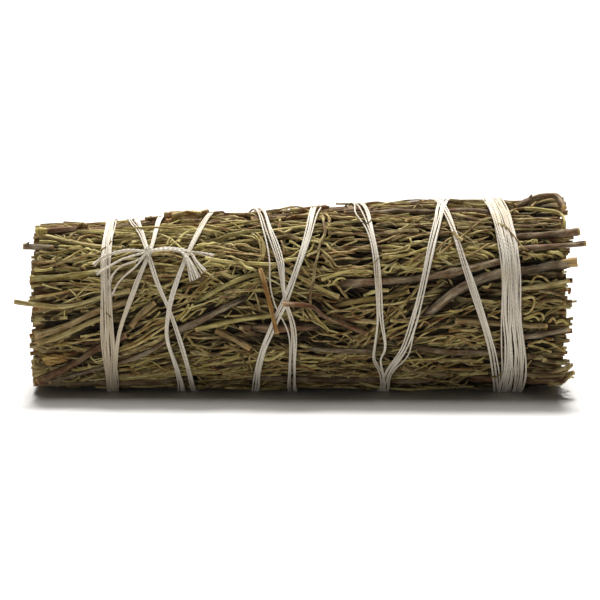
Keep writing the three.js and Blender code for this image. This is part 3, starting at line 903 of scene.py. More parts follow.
# The fine stems, shoots, long leaves and flakes of bark that lie outermost on the front, placed one
# by one: tone, radius in mm, how far it stands proud in mm, then its course as x in mm and degrees
SEEN_STEMS = [
    (0.4, 0.27, 0, (-53.4, 38), (-50.5, 39), (-47.1, 43), (-44.2, 46), (-40.1, 50)),
    (0.62, 0.2, 0, (-52.7, 51), (-50.5, 49), (-48.6, 50), (-46.8, 53), (-44.2, 53)),
    (0.7, 0.2, 0, (-50.1, 44), (-48.2, 50), (-46.4, 54), (-44.5, 54)),
    (0.7, 0.2, 0, (-48, 43), (-46, 47), (-44.2, 52)),
    (0.6, 0.2, 0, (-52.9, 47), (-51.6, 44), (-49.9, 44), (-48.2, 46)),
    (0.5, 0.25, 0, (-46.9, 66), (-46.4, 71), (-44.9, 76), (-43.1, 79), (-41.2, 75), (-39.9, 69)),
    (0.36, 0.22, 0, (-46.8, 67), (-46.2, 62), (-44.9, 64), (-43.4, 68), (-41.9, 68), (-40.3, 65)),
    (0.8, 0.2, 0, (-43.1, 78), (-41.9, 74), (-40.1, 67)),
    (0.8, 0.25, 0, (-43.2, 63), (-41.9, 59), (-40.1, 52)),
    (0.9, 0.25, 0, (-44.9, 57), (-42.3, 53), (-40.1, 50)),
    (0.8, 0.3, 0, (-53.6, 36), (-51.9, 36), (-49.9, 37)),
    (0.45, 0.2, 0, (-50.5, 26), (-48.2, 26), (-46.4, 26), (-44.2, 24), (-41.6, 23)),
    (0.4, 0.2, 0, (-46.8, 30), (-45.6, 27), (-43.1, 26), (-40.3, 26)),
    (0.9, 0.18, 0, (-51.9, 26), (-50.5, 24), (-47.9, 22)),
    (0.4, 0.28, 0, (-53.2, 17), (-50.5, 18), (-47.7, 20), (-45.6, 22), (-43.1, 22), (-40.3, 22)),
    (0.2, 0.15, 0, (-45.6, 13), (-44.2, 17), (-43.1, 20)),
    (0.6, 0.2, 0, (-44.2, 29), (-41.9, 30), (-40.3, 29)),
    (0.75, 0.25, 0, (-44, 39), (-41.9, 41), (-40.3, 42)),
    (0.5, 0.2, 0, (-44.9, 36), (-43.1, 36), (-41.2, 36)),
    (0.85, 0.28, 0, (-37.5, 67), (-35.7, 66), (-33.3, 65)),
    (0.7, 0.2, 0, (-37.9, 52), (-36.4, 57), (-34.2, 60)),
    (0.65, 0.2, 0, (-37.9, 49), (-36, 51), (-33.1, 52)),
    (0.8, 0.2, 0, (-37.5, 47), (-35.3, 49), (-33.1, 49)),
    (0.85, 0.25, 0, (-30.1, 46), (-27, 47), (-23.4, 47)),
    (0.65, 0.2, 0, (-29.6, 37), (-27, 36), (-23.4, 33)),
    (0.6, 0.2, 0, (-29.6, 33), (-27, 32), (-22.7, 28)),
    (0.6, 0.2, 0, (-29.4, 30), (-27, 29), (-24.6, 28)),
    (0.4, 0.22, 0, (-37.3, 16), (-35.3, 18), (-33.8, 21)),
    (0.36, 0.2, 0, (-37.1, 12), (-35.3, 15), (-33.8, 17)),
    (0.5, 0.2, 0, (-34.2, 14), (-32, 19), (-31, 26)),
    (0.55, 0.2, 0, (-33.3, 17), (-31.4, 15), (-29.7, 11)),
    (0.62, 0.2, 0, (-48.6, 41), (-46.4, 44), (-43.1, 45)),
    (0.3, 0.25, 0, (-53, 41), (-51.4, 42), (-49.3, 42)),
    (0.78, 0.2, 0, (-49, 56), (-46.8, 56), (-44.2, 56)),
    (0.68, 0.2, 0, (-45.6, 40), (-43.8, 43), (-41.2, 45)),
    (0.8, 0.15, 0, (-47.3, 9), (-47.4, 2)),
    (0.4, 0.22, 0, (-44, 7), (-41.9, 8), (-40.5, 10)),
    (0.12, 0.5, 0, (-53.6, -1), (-51.2, -2), (-48.6, -3)),
    (0.5, 0.25, 0, (-53.2, -22), (-51.6, -20), (-49.7, -17), (-47.7, -13), (-44.9, -7), (-40.5, -2)),
    (0.48, 0.22, 0, (-53, -29), (-51.2, -23), (-49.5, -19)),
    (0.72, 0.28, 0, (-49.5, -17), (-47.7, -16), (-46, -17), (-46.4, -19), (-48.6, -19)),
    (0.15, 0.12, 0, (-45.6, -19), (-44.2, -19), (-41.9, -20)),
    (0.3, 0.25, 0, (-47.9, -15), (-45.6, -15), (-43.4, -13), (-40.3, -12)),
    (0.5, 0.25, 0, (-44.2, -10), (-42.1, -9), (-40.1, -8)),
    (0.3, 0.15, 0, (-42.7, -34), (-43.1, -30), (-42.3, -27)),
    (0.36, 0.36, 0, (-47.7, -64), (-45.6, -54), (-43.4, -48), (-41.2, -43)),
    (0.36, 0.25, 0, (-41.9, -42), (-40.3, -36), (-39.7, -33)),
    (0.5, 0.25, 0, (-35.8, -14), (-32.9, -9), (-30.1, -4), (-27, 1)),
    (0.55, 0.25, 0, (-35.8, -18), (-32.9, -14), (-30.1, -8), (-27, -3)),
    (0.4, 0.3, 0, (-36.4, -21), (-33.8, -18), (-31, -13), (-28.6, -8), (-27, -5)),
    (0.12, 0.42, 0, (-36, -24), (-32.9, -20), (-29.7, -16), (-27, -11)),
    (0.2, 0.3, 0, (-36.4, -28), (-33.8, -26), (-30.1, -22), (-27, -17)),
    (0.62, 0.28, 0, (-35.7, -30), (-32.9, -29), (-30.1, -27), (-26, -23)),
    (0.65, 0.25, 0, (-34.2, -35), (-32, -31), (-29.2, -28), (-26, -25)),
    (0.7, 0.22, 0, (-33.6, -38), (-31, -34), (-26.4, -31)),
    (0.36, 0.3, 0, (-36.6, -37), (-34.2, -37), (-32, -43), (-29.7, -40), (-25.7, -35)),
    (0.6, 0.2, 0, (-32.1, 0), (-30.1, 4), (-28.3, 8)),
    (0.65, 0.2, 0, (-31.4, -5), (-29.6, 0), (-28.1, 5)),
    (0.14, 0.4, 0, (-37, -44), (-33.8, -44), (-30.1, -47), (-26.4, -49)),
    (0.1, 0.5, 0, (-54.3, -34), (-51.9, -38), (-48.2, -38), (-45.6, -35)),
    (0.1, 0.4, 0, (-53.4, 2), (-50.5, 2), (-46.8, 3)),
    (0.22, 0.3, 0, (-45.6, -30), (-44.2, -27), (-41.9, -24)),
    (0.5, 0.2, 0, (-44.9, -24), (-43.1, -21), (-40.8, -20)),
    (0.8, 0.3, 0, (-28, 65), (-26.2, 69), (-23.7, 69), (-21.9, 67), (-20, 62)),
    (0.9, 0.42, 0, (-24.7, 53), (-23.7, 60), (-22.5, 63), (-21, 63)),
    (0.8, 0.22, 0, (-26.9, 52), (-26.3, 57), (-25.2, 59)),
    (0.8, 0.22, 0, (-26.2, 53), (-25.6, 59)),
    (0.8, 0.22, 0, (-28, 48), (-26.2, 48), (-24.3, 48)),
    (0.6, 0.2, 0, (-23.6, 55), (-22.5, 58), (-21, 59)),
    (0.82, 0.38, 0, (-20.8, 48), (-17.6, 51), (-15.1, 56), (-12.3, 59), (-9.5, 61), (-7.5, 60)),
    (0.75, 0.2, 0, (-21.3, 46), (-18.8, 45), (-15.4, 45)),
    (0.8, 0.22, 0, (-19.7, 61), (-17.6, 61), (-16.2, 55), (-13.6, 57), (-12.1, 58)),
    (0.75, 0.22, 0, (-18.8, 65), (-16.5, 67), (-14.3, 69), (-12.8, 76)),
    (0.8, 0.2, 0, (-16.5, 63), (-13.9, 66), (-11.4, 67)),
    (0.6, 0.2, 0, (-15.1, 71), (-12.3, 70), (-10.2, 71)),
    (0.62, 0.2, 0, (-8, 53), (-7.5, 47), (-7.5, 40), (-8, 36)),
    (0.58, 0.2, 0, (-8.6, 53), (-8, 47), (-8, 39), (-8.4, 35)),
    (0.66, 0.22, 0, (-9, 59), (-7.5, 51), (-7, 43), (-7.5, 36)),
    (0.24, 0.18, 0, (-14.5, 49), (-13.8, 44), (-11.7, 41), (-10.2, 39)),
    (0.24, 0.18, 0, (-13.6, 47), (-12.5, 48), (-9.5, 45), (-8, 43)),
    (0.85, 0.18, 0, (-13.2, 49), (-10.4, 48), (-10.2, 44)),
    (0.5, 0.2, 0, (-12.1, 39), (-9.5, 37), (-8, 38)),
    (0.85, 0.25, 0, (-14.1, 40), (-12.3, 36), (-10.6, 31), (-8.8, 30)),
    (0.88, 0.38, 0, (-19.1, 39), (-16.5, 37), (-12.3, 35), (-8.6, 34), (-5.1, 33), (-2.8, 35), (-0.3, 36)),
    (0.8, 0.15, 0, (-16.5, 35), (-14.7, 31), (-13.9, 34)),
    (0.8, 0.3, 0, (-16, 29), (-13.9, 26), (-11.4, 26), (-9.9, 27), (-8.4, 29), (-7.1, 31)),
    (0.55, 0.2, 0, (-19.3, 27), (-17.6, 25), (-16.2, 23), (-14.7, 20)),
    (0.6, 0.25, 0, (-16.2, 28), (-18.8, 21), (-20.6, 17), (-22.5, 11)),
    (0.62, 0.25, 0, (-17.1, 29), (-19.7, 21), (-21.9, 14), (-23.4, 10)),
    (0.65, 0.2, 0, (-18.4, 20), (-19.9, 16), (-21, 12)),
    (0.3, 0.25, 0, (-24.7, 10), (-23.2, 15), (-21.9, 21)),
    (0.12, 0.25, 0, (-15.2, 16), (-13.2, 17), (-10.2, 17), (-8.4, 21)),
    (0.12, 0.25, 0, (-13.2, 17), (-13.2, 13)),
    (0.1, 0.3, 0, (-16.2, 13), (-13.9, 13), (-11.4, 14)),
    (0.12, 0.28, 0, (-5.3, 52), (-4.7, 54), (-2.1, 55), (-0.3, 51)),
    (0.36, 0.3, 0, (-4.7, 59), (-3.2, 57), (-1.4, 61), (1, 63)),
    (0.2, 0.2, 0, (-3.8, 50), (-3.4, 45), (-3.2, 40)),
    (0.85, 0.2, 0, (-3.4, 45), (-1.6, 43), (-0.3, 43)),
    (0.85, 0.22, 0, (-2.1, 49), (-1, 47), (0.1, 44)),
    (0.8, 0.22, 0, (-3.2, 36), (-1.4, 38), (0.1, 42)),
    (0.3, 0.7, 0.2, (-27.4, 81), (-25.2, 85), (-22.5, 85), (-20.6, 84)),
    (0.8, 0.35, 0, (-15.4, 79), (-13.2, 79)),
    (0.26, 0.35, 0, (-12.8, 79), (-10.4, 77), (-9.5, 75)),
    (0.68, 0.2, 0, (-21.9, 43), (-19.1, 41), (-16.5, 42)),
    (0.75, 0.2, 0, (-19.1, 36), (-17.6, 35), (-15.1, 32)),
    (0.58, 0.2, 0, (-28, 33), (-25.8, 31), (-23.2, 31)),
    (0.5, 0.2, 0, (-28, 29), (-25.4, 28), (-23.2, 27)),
    (0.14, 0.35, 0, (-16.2, 72), (-12.8, 72), (-9.9, 72)),
    (0.7, 0.25, 0, (-24.9, -1), (-23.6, 3), (-22.3, 9)),
    (0.75, 0.25, 0, (-24.1, -1), (-22.5, 4), (-21.5, 9)),
    (0.65, 0.2, 0, (-23.7, -2), (-21.9, 2), (-20.6, 5), (-18.8, 6)),
    (0.65, 0.25, 0, (-23.6, -3), (-21.9, -1), (-20.2, 2), (-19.1, 6)),
    (0.7, 0.15, 0, (-15.1, 0), (-14.3, 2), (-13.6, 5)),
    (0.75, 0.22, 0, (-15.8, -9), (-14.7, -6), (-13.6, -2), (-11.7, 0), (-10.1, 2)),
    (0.3, 0.2, 0, (-17.6, -11), (-16.9, -9), (-16.2, -8)),
    (0.9, 0.15, 0, (-9.5, 3), (-8.4, 0)),
    (0.12, 0.2, 0, (-13.9, 7), (-11.4, 6), (-6.7, 7)),
    (0.62, 0.25, 0, (-22.6, -12), (-21.7, -17), (-19.1, -23), (-16.5, -27), (-14.3, -28), (-12.3, -26)),
    (0.6, 0.25, 0, (-23.6, -14), (-22.8, -10), (-21.5, -8)),
    (0.6, 0.2, 0, (-21.9, -17), (-20.2, -19), (-18.6, -20)),
    (0.8, 0.3, 0, (-19.7, -35), (-16.9, -33), (-13.9, -29), (-12.3, -27)),
    (0.15, 0.25, 0, (-16.9, -33), (-14.1, -32), (-11.4, -31)),
    (0.5, 0.22, 0, (-12.3, -24), (-11.4, -30), (-10.6, -38), (-10.4, -43)),
    (0.6, 0.2, 0, (-10.1, -26), (-10.2, -31), (-9.7, -38)),
    (0.6, 0.2, 0, (-10.1, -26), (-8.8, -25), (-7.7, -24)),
    (0.85, 0.4, 0, (-7.5, -29), (-5.8, -29), (-4, -26), (-3, -24)),
    (0.8, 0.25, 0, (-7.5, -28), (-5.1, -22)),
    (0.6, 0.2, 0, (-6.7, -35), (-5.1, -33), (-3, -33)),
    (0.3, 0.2, 0, (-7.3, -48), (-5.4, -43), (-3.2, -35)),
    (0.24, 0.2, 0, (-19.1, -51), (-16.9, -48), (-15.1, -44), (-11.4, -45), (-10.4, -41)),
    (0.24, 0.18, 0, (-17.6, -36), (-15.1, -44)),
    (0.3, 0.2, 0, (-14.7, -49), (-11.4, -43), (-10.4, -40)),
    (0.6, 0.25, 0, (-21, -43), (-20, -50), (-18.6, -59)),
    (0.36, 0.35, 0, (-28, -41), (-26.5, -39), (-25.4, -37)),
    (0.28, 0.3, 0, (-28, -47), (-26.5, -49), (-25.2, -51)),
    (0.6, 0.22, 0, (-7.7, -66), (-8, -56), (-5.8, -53), (-3, -52)),
    (0.55, 0.2, 0, (-14.1, -66), (-12.3, -60), (-10.4, -62)),
    (0.5, 0.2, 0, (-18.8, -60), (-15.1, -56), (-12.3, -55)),
    (0.6, 0.2, 0, (-0.6, -19), (2.3, -21)),
    (0.6, 0.2, 0, (-0.4, -28), (2.7, -28)),
    (0.12, 0.55, 0, (-12.1, -7), (-9.5, -7), (-6.2, -7)),
    (0.22, 0.4, 0, (-17.6, -15), (-15.1, -15), (-12.1, -16), (-8.8, -16)),
    (0.1, 0.45, 0, (-22.1, -22), (-19.1, -25), (-16.2, -25)),
    (0.3, 0.25, 0, (-17.6, -18), (-15.1, -18), (-12.1, -21), (-10.6, -24)),
    (0.3, 0.28, 0.2, (0, 85), (1.1, 85), (2.2, 82)),
    (0.3, 0.3, 0, (5.4, 83), (7.4, 78), (8.9, 81), (11.5, 77)),
    (0.15, 0.4, 0, (6.1, 72), (8.3, 70), (10.4, 69), (11.8, 67)),
    (0.3, 0.33, 0, (5.2, 76), (5.9, 70), (5.9, 61)),
    (0.12, 0.28, 0, (5.7, 54), (8.3, 54), (11.1, 53), (12.9, 53)),
    (0.12, 0.4, 0, (16.1, 52), (18.5, 52), (20.3, 53), (24, 53)),
    (0.6, 0.2, 0, (6.3, 44), (7.8, 48), (9.2, 50), (10.9, 50)),
    (0.55, 0.2, 0, (8.1, 42), (9.6, 45), (11.5, 47)),
    (0.9, 0.3, 0, (1.8, 50), (3.7, 48), (5.2, 46), (6.1, 42)),
    (0.85, 0.2, 0, (2.2, 52), (3.3, 50), (4.8, 46)),
    (0.9, 0.25, 0, (1.3, 37), (2.2, 39), (3.5, 40)),
    (0.85, 0.2, 0, (1.1, 39), (2.2, 42), (2.8, 46)),
    (0.85, 0.2, 0, (0.9, 36), (1.8, 30)),
    (0.4, 0.2, 0, (4.3, 38), (5.9, 33), (6.7, 29), (10, 28), (12.9, 28)),
    (0.5, 0.18, 0, (6.1, 35), (7.4, 30), (10.4, 30)),
    (0.5, 0.2, 0, (4.4, 30), (6.1, 27), (8.1, 27)),
    (0.82, 0.38, 0, (4.3, 22), (6.3, 24), (8.9, 26), (11.5, 26), (13.7, 26), (14.6, 25)),
    (0.8, 0.2, 0, (10.4, 27), (11.5, 24), (14.4, 23)),
    (0.85, 0.2, 0, (6.5, 19), (7.8, 22), (10.4, 21)),
    (0.8, 0.18, 0, (10.9, 20), (12.9, 22)),
    (0.75, 0.2, 0, (3, 19), (4.8, 18), (7.4, 19)),
    (0.36, 0.25, 0, (5.7, 18), (6.1, 21)),
    (0.88, 0.42, 0, (12.8, 11), (14.4, 13), (16.6, 14), (17.8, 14)),
    (0.6, 0.25, 0, (16.5, 39), (18.5, 39), (20.3, 40), (23.1, 43), (25.9, 46)),
    (0.6, 0.2, 0, (16.3, 36), (19.6, 37), (21.8, 39), (22.2, 42)),
    (0.82, 0.3, 0, (16.6, 34), (19.4, 35), (21.8, 36), (23.7, 38), (25.9, 40)),
    (0.9, 0.2, 0, (22.2, 47), (22.5, 43)),
    (0.65, 0.2, 0, (19.4, 31), (20.7, 27), (23.1, 26), (25.5, 28)),
    (0.7, 0.18, 0, (22.6, 34), (22.2, 30), (21.1, 29)),
    (0.85, 0.2, 0, (16.5, 26), (17.8, 25), (18.7, 29), (19.4, 30)),
    (0.78, 0.22, 0, (16.6, 22), (18.7, 22), (20.7, 25), (22.9, 25), (25, 26)),
    (0.5, 0.3, 0, (18.5, 47), (20.3, 49), (21.6, 50)),
    (0.12, 0.35, 0, (19.6, 60), (23.1, 58), (26.6, 57)),
    (0.15, 0.25, 0, (15.5, 61), (17.8, 61), (19.6, 58)),
    (0.36, 0.35, 0, (21.3, 62), (23.1, 65), (25, 64)),
    (0.5, 0.2, 0, (23.9, 54), (25.5, 51), (26.8, 49)),
    (0.8, 0.25, 0, (27.4, 36), (28.3, 33), (29.6, 33)),
    (0.3, 0.3, 0, (4.4, 38), (7.8, 39), (11.1, 39)),
    (0.7, 0.2, 0, (4.6, 59), (7.4, 58), (10.4, 56)),
    (0.75, 0.18, 0, (8.9, 59), (11.1, 57), (12.6, 56)),
    (0.2, 0.2, 0, (4.8, -1), (6.3, 2), (10.4, 2)),
    (0.12, 0.6, 0, (5.4, -3), (8.9, -3), (11.8, -4), (15.2, -5)),
    (0.55, 0.2, 0, (0, -2), (1.8, -3), (3.3, -3)),
    (0.5, 0.15, 0, (0.6, -5), (1.8, -8)),
    (0.4, 0.18, 0, (4.4, -4), (5.7, -11)),
    (0.4, 0.22, 0, (0, -8), (1.5, -8), (3, -11), (6.1, -13), (8.1, -12), (10.4, -11)),
    (0.45, 0.18, 0, (1.5, -16), (4.4, -17), (7.4, -17)),
    (0.45, 0.2, 0, (5.5, -18), (7.4, -20), (9.8, -21)),
    (0.82, 0.3, 0, (0, -29), (3, -29), (6.5, -29)),
    (0.5, 0.25, 0, (6.5, -28), (9.2, -27), (14.1, -27)),
    (0.25, 0.25, 0, (6.1, -32), (10.4, -30), (14.2, -29), (16.3, -26)),
    (0.88, 0.3, 0, (0, -35), (1.5, -36), (3.3, -35)),
    (0.9, 0.25, 0, (0, -20), (1.3, -21)),
    (0.6, 0.2, 0, (3.3, -36), (5.5, -39), (7.8, -37)),
    (0.6, 0.2, 0, (1.8, -39), (4.1, -43)),
    (0.55, 0.15, 0, (5.7, -36), (6, -47)),
    (0.5, 0.18, 0, (10.5, -32), (11.8, -34), (12.9, -33)),
    (0.9, 0.25, 0, (9.1, -45), (10, -46)),
    (0.6, 0.25, 0, (0, -58), (2.8, -58), (5.5, -57)),
    (0.55, 0.25, 0, (6.7, -62), (11.1, -62), (14.8, -65)),
    (0.75, 0.18, 0, (16.6, 2), (17.8, -3)),
    (0.5, 0.25, 0, (16.8, 6), (19.6, 3), (21.3, -4)),
    (0.4, 0.35, 0, (18.1, -4), (20, -5), (22, -5)),
    (0.5, 0.22, 0, (17, -15), (18.9, -11), (20.9, -9)),
    (0.36, 0.2, 0, (18.1, -16), (20.3, -12), (21.5, -10)),
    (0.6, 0.22, 0, (23.1, -18), (24.4, -14), (25.7, -12), (27.4, -10)),
    (0.24, 0.2, 0, (23.9, -9), (25, -5), (26.3, -8)),
    (0.36, 0.2, 0, (25.9, -20), (27.4, -16), (29, -14)),
    (0.28, 0.22, 0, (22.7, -25), (24, -28), (25.3, -33), (27.7, -32)),
    (0.85, 0.35, 0, (20.3, -40), (24, -44), (25.9, -46), (29, -46), (35.1, -45), (38.1, -44)),
    (0.27, 0.22, 0, (25.9, -40), (27, -36), (28.1, -37), (29, -39)),
    (0.6, 0.2, 0, (19.6, -20), (21.5, -16), (22.9, -16)),
    (0.35, 0.2, 0, (10.4, 1), (11.5, -2), (12.9, -1)),
    (0.45, 0.2, 0, (8.7, -12), (10, -15), (11.1, -19)),
    (0.36, 0.35, 0, (33, 70), (35.7, 69), (37.9, 68)),
    (0.15, 0.35, 0, (30.9, 68), (33.7, 65), (36, 62), (38.1, 62)),
    (0.12, 0.3, 0, (31.8, 55), (35.7, 55), (38.7, 56)),
    (0.6, 0.2, 0, (32.8, 49), (34.7, 50), (36, 51)),
    (0.4, 0.15, 0, (34.3, 81), (35.1, 76)),
    (0.45, 0.15, 0, (34.9, 80), (35.7, 75)),
    (0.4, 0.15, 0, (36.6, 79), (37, 74)),
    (0.8, 0.2, 0, (28, 36), (29.9, 36), (31.4, 37)),
    (0.78, 0.2, 0, (28, 33), (29.7, 34)),
    (0.75, 0.2, 0, (33.4, 39), (36.6, 38), (39.5, 33), (40.1, 31)),
    (0.78, 0.2, 0, (33.4, 37), (36, 36), (38.7, 32)),
    (0.65, 0.2, 0, (33.7, 40), (37.2, 40), (39.9, 41)),
    (0.8, 0.2, 0, (35.3, 39), (37.6, 36), (39.9, 33)),
    (0.5, 0.2, 0, (32.6, 46), (34.3, 43), (35.7, 43)),
    (0.3, 0.2, 0.5, (40.3, 85), (41.8, 85), (43.3, 81)),
    (0.6, 0.2, 0, (44.3, 41), (45.6, 44), (46.8, 46)),
    (0.65, 0.2, 0, (44.5, 40), (46.4, 41), (47.3, 44)),
    (0.65, 0.2, 0, (44.6, 38), (46, 36), (47.7, 37)),
    (0.85, 0.28, 0, (47.1, 40), (47.5, 44), (47.9, 40), (47.9, 37)),
    (0.8, 0.4, 0, (46, 36), (49, 36), (53.3, 32)),
    (0.6, 0.25, 0, (46, 34), (49, 33), (53.3, 30)),
    (0.62, 0.2, 0, (45.8, 12), (46.4, 17), (47.1, 20), (48.3, 20), (50, 17), (51.5, 18)),
    (0.6, 0.22, 0, (47.1, 14), (49, 16), (51.9, 17)),
    (0.82, 0.32, 0, (48.1, 12), (51, 14), (53.6, 14)),
    (0.12, 0.35, 0, (47.9, 12), (51, 10), (53.4, 7)),
    (0.4, 0.2, 0, (52.5, 22), (53.4, 22)),
    (0.25, 0.3, 0, (53.4, 12), (54, 12), (53.8, 9)),
    (0.85, 0.35, 0, (45.8, 73), (49, 70), (52.1, 66), (53.3, 60), (53.4, 48)),
    (0.2, 0.3, 0, (43.3, 62), (46.2, 61), (49, 60), (52.7, 57)),
    (0.12, 0.3, 0, (43.1, 57), (46.2, 55), (50, 55)),
    (0.3, 0.25, 0, (47.1, 76), (48.3, 81)),
    (0.25, 0.22, 0, (42.7, 71), (44.3, 74), (46.8, 72)),
    (0.28, 0.35, 0, (44.8, 32), (46.4, 32)),
    (0.36, 0.3, 0, (36, 16), (37.6, 15), (38.3, 17)),
    (0.36, 0.33, 0, (53.4, 29), (54.8, 31)),
    (0.14, 0.35, 0, (44.5, 29), (47.1, 28), (50, 26)),
    (0.6, 0.28, 0, (44.5, 8), (46.8, 8), (46.8, 3), (45.6, -1), (44.8, -1)),
    (0.72, 0.22, 0, (44.8, -4), (46.4, -2), (48.1, -1), (48.9, -4), (48.1, -8), (46.4, -9), (44.8, -8)),
    (0.7, 0.2, 0, (45.2, -5), (46.8, -3), (47.9, -5), (47.7, -7), (46.2, -8)),
    (0.75, 0.2, 0, (44.8, -6), (46.4, -6), (47.3, -7)),
    (0.5, 0.35, 0, (47.1, 3), (49.4, 6), (53.4, 5)),
    (0.36, 0.25, 0, (50, -7), (50.6, -4), (51.5, -8)),
    (0.8, 0.3, 0, (51.5, -7), (52.7, -6), (54, -11)),
    (0.8, 0.35, 0, (45.6, -11), (48.1, -11), (49.6, -12)),
    (0.3, 0.35, 0, (47.5, -17), (50.8, -18)),
    (0.7, 0.25, 0, (45.8, -21), (48.1, -23), (50.6, -26)),
    (0.6, 0.3, 0, (46, -20), (49, -19), (52.9, -24)),
    (0.06, 0.6, 0, (45.8, -29), (48.9, -30)),
    (0.1, 0.5, 0, (48.9, -32), (53.3, -35)),
    (0.6, 0.2, 0, (45.8, -37), (46.6, -32)),
    (0.85, 0.25, 0, (46, -45), (48.1, -47), (51, -48), (52.9, -48), (55.6, -49)),
    (0.8, 0.25, 0, (45.8, -46), (48.3, -51), (51, -51), (54.4, -53)),
    (0.3, 0.3, 0, (47.1, -45), (50.6, -46), (54.8, -47)),
    (0.12, 0.35, 0, (53.4, -43), (54.8, -38)),
    (0.5, 0.3, 0, (28, -9), (32.6, -8), (35.7, -9)),
    (1, 0.33, 0, (30.9, -6), (33, -5), (34.7, -5)),
    (0.45, 0.35, 0, (29.9, -12), (31.4, -11), (33.7, -11), (35.7, -11)),
    (0.58, 0.22, 0, (29.1, -20), (30.9, -15), (33.4, -13), (35.3, -15)),
    (0.58, 0.22, 0, (28.4, -21), (30.3, -15), (32.2, -13)),
    (0.6, 0.2, 0, (30.1, -19), (31.8, -15), (34.1, -14)),
    (0.28, 0.25, 0, (32.2, -16), (33.7, -19), (36.4, -21)),
    (0.12, 0.4, 0, (28, -23), (31.8, -24), (36.4, -24)),
    (0.14, 0.35, 0, (28, -27), (31.8, -28), (37, -28)),
    (0.5, 0.48, 0, (28, -32), (31.8, -32), (37, -33)),
    (0.28, 0.22, 0, (28, -35), (29.1, -38), (29.9, -41)),
    (0.27, 0.2, 0, (30.1, -39), (33.7, -38), (37.2, -42)),
    (0.7, 0.22, 0, (29.9, 1), (31.8, 1), (34.7, 4)),
    (0.6, 0.2, 0, (37, 4), (38.7, 6), (40.2, 7)),
    (0.45, 0.25, 0, (37.6, -6), (40.2, -6)),
    (0.3, 0.2, 0, (37.6, -1), (40.2, -4)),
    (0.8, 0.8, 0.5, (-53.9, 73), (-52.6, 73), (-51.8, 74)),
    (0.24, 0.85, 0.9, (-27.6, 88), (-25, 92), (-22, 90), (-18.8, 87)),
    (0.3, 0.55, 1.2, (-26.2, 83), (-23.5, 86), (-20.2, 84)),
    (0.15, 0.5, 0.7, (-31.6, 85), (-30, 88), (-28.6, 86)),
    (0.2, 0.4, 0.6, (-45.6, 82), (-44.6, 85), (-43.6, 84)),
    (0.2, 0.4, 0.5, (-2, 84), (2.5, 86), (6, 84)),
    (0.13, 0.4, 0.5, (51, -41), (53.1, -38), (55, -35)),
    (0.15, 0.5, 0.5, (50.5, -54), (52.9, -52), (54.2, -46), (55.4, -42)),
]  # fmt: skip


LAID_SECTIONS, LAID_SIDES = 18, 7
LAID_STEP = 0.0003
LAID_LIFT = 0.0001


def laid_strands(name, rows, base_lift, under, rng):
    """Strands with a course of their own, with swellings and an uneven skin. With under, those that
    don't stand proud pass under the woody stems."""
    courses, lifts, radii, tones = [], [], [], []
    t = np.linspace(0, 1, LAID_SECTIONS)
    for tone, radius, proud, *course in rows:
        course = [(x * MM, math.radians(degrees) * MIDDLE_RADIUS, 0) for x, degrees in course]
        line = smooth_line(course, LAID_STEP)
        spread = np.linspace(0, len(line) - 1, LAID_SECTIONS)
        courses.append([np.interp(spread, np.arange(len(line)), column) for column in line.T[:2]])
        phase = rng.uniform(0, 6, 2)
        sway = 0.00012 * np.sin(5 * t + phase[0])
        lifts.append(proud * MM + base_lift - 0.4 * radius * MM - rng.uniform(0, 0.0003) + sway)
        knots = 0.22 * np.exp(-(((t - rng.uniform(0, 1, (2, 1))) / 0.04) ** 2)).sum(axis=0)
        girth = 1.05 - 0.2 * t + knots + 0.08 * np.sin(17 * t + phase[1])
        radii.append(radius * MM * (girth + rng.normal(0, 0.05, LAID_SECTIONS)))
        tones.append(tone + rng.normal(0, 0.03))
    x, around = np.array(courses).transpose(1, 0, 2)
    degrees, lifts, radii = np.degrees(around / MIDDLE_RADIUS), np.array(lifts), np.array(radii)
    if under:
        proud = np.array([row[2] for row in rows])[:, None] > 0
        lifts = np.where(proud, lifts, pass_under(x, degrees, lifts, radii))
    lines, tones = on_bundle(x, degrees, lifts), np.clip(tones, 0, 1)
    dress_sprigs(join_strands(name, lines, radii, outward(degrees), tones, LAID_SIDES))


laid_strands("front_fine_stems", SEEN_STEMS, LAID_LIFT, True, rng)

# The needle leaves: 3 to 11 mm long, dried, rolled and curled. They grow in pairs of rows on thin
# shoots, which lie in patches over the bundle, so each patch has one lie and one colour.
LEAF_SIDES = 4
LEAF_TOP = 0.0005  # highest lift of a leaf
LEAF_GIRTH = np.array([0.5, 0.8, 0.95, 1.0, 1.0, 0.95, 0.88, 0.74, 0.5, 0.14])

# x and degrees of the middle, half length in mm, half width in degrees, lie in degrees, shoots,
# tone from brown 0 to straw 1
LEAFY_PATCHES = [
    (-46, 54, 7, 14, -8, 8, 0.74),
    (-46, 27, 7, 14, 3, 7, 0.68),
    (-29, 64, 9, 14, 5, 9, 0.76),
    (-29, 27, 9, 18, 14, 8, 0.60),
    (-14, 48, 8, 14, 6, 11, 0.76),
    (-14, 20, 7, 10, 26, 5, 0.66),
    (-8, 45, 4, 12, -50, 4, 0.72),
    (1, 38, 4, 22, -35, 6, 0.70),
    (10, 52, 7, 12, 0, 3, 0.46),
    (27, 37, 13, 10, 3, 13, 0.62),
    (34, 62, 8, 10, 0, 4, 0.40),
    (30, -12, 10, 8, 5, 5, 0.52),
    (20, 6, 5, 14, 30, 4, 0.50),
    (-13, -37, 10, 14, 3, 8, 0.58),
    (8, -40, 9, 12, 2, 6, 0.48),
    (30, -42, 11, 10, -2, 5, 0.42),
    (46, 38, 5, 8, 0, 4, 0.58),
    (48, 2, 5, 12, 0, 4, 0.56),
    (-30, -38, 8, 14, 12, 6, 0.62),
    (-47, -38, 6, 12, 25, 3, 0.52),
    (7, -3, 7, 12, -12, 3, 0.46),
]
HIDDEN_PATCHES = 40  # patches on the top, back and underside


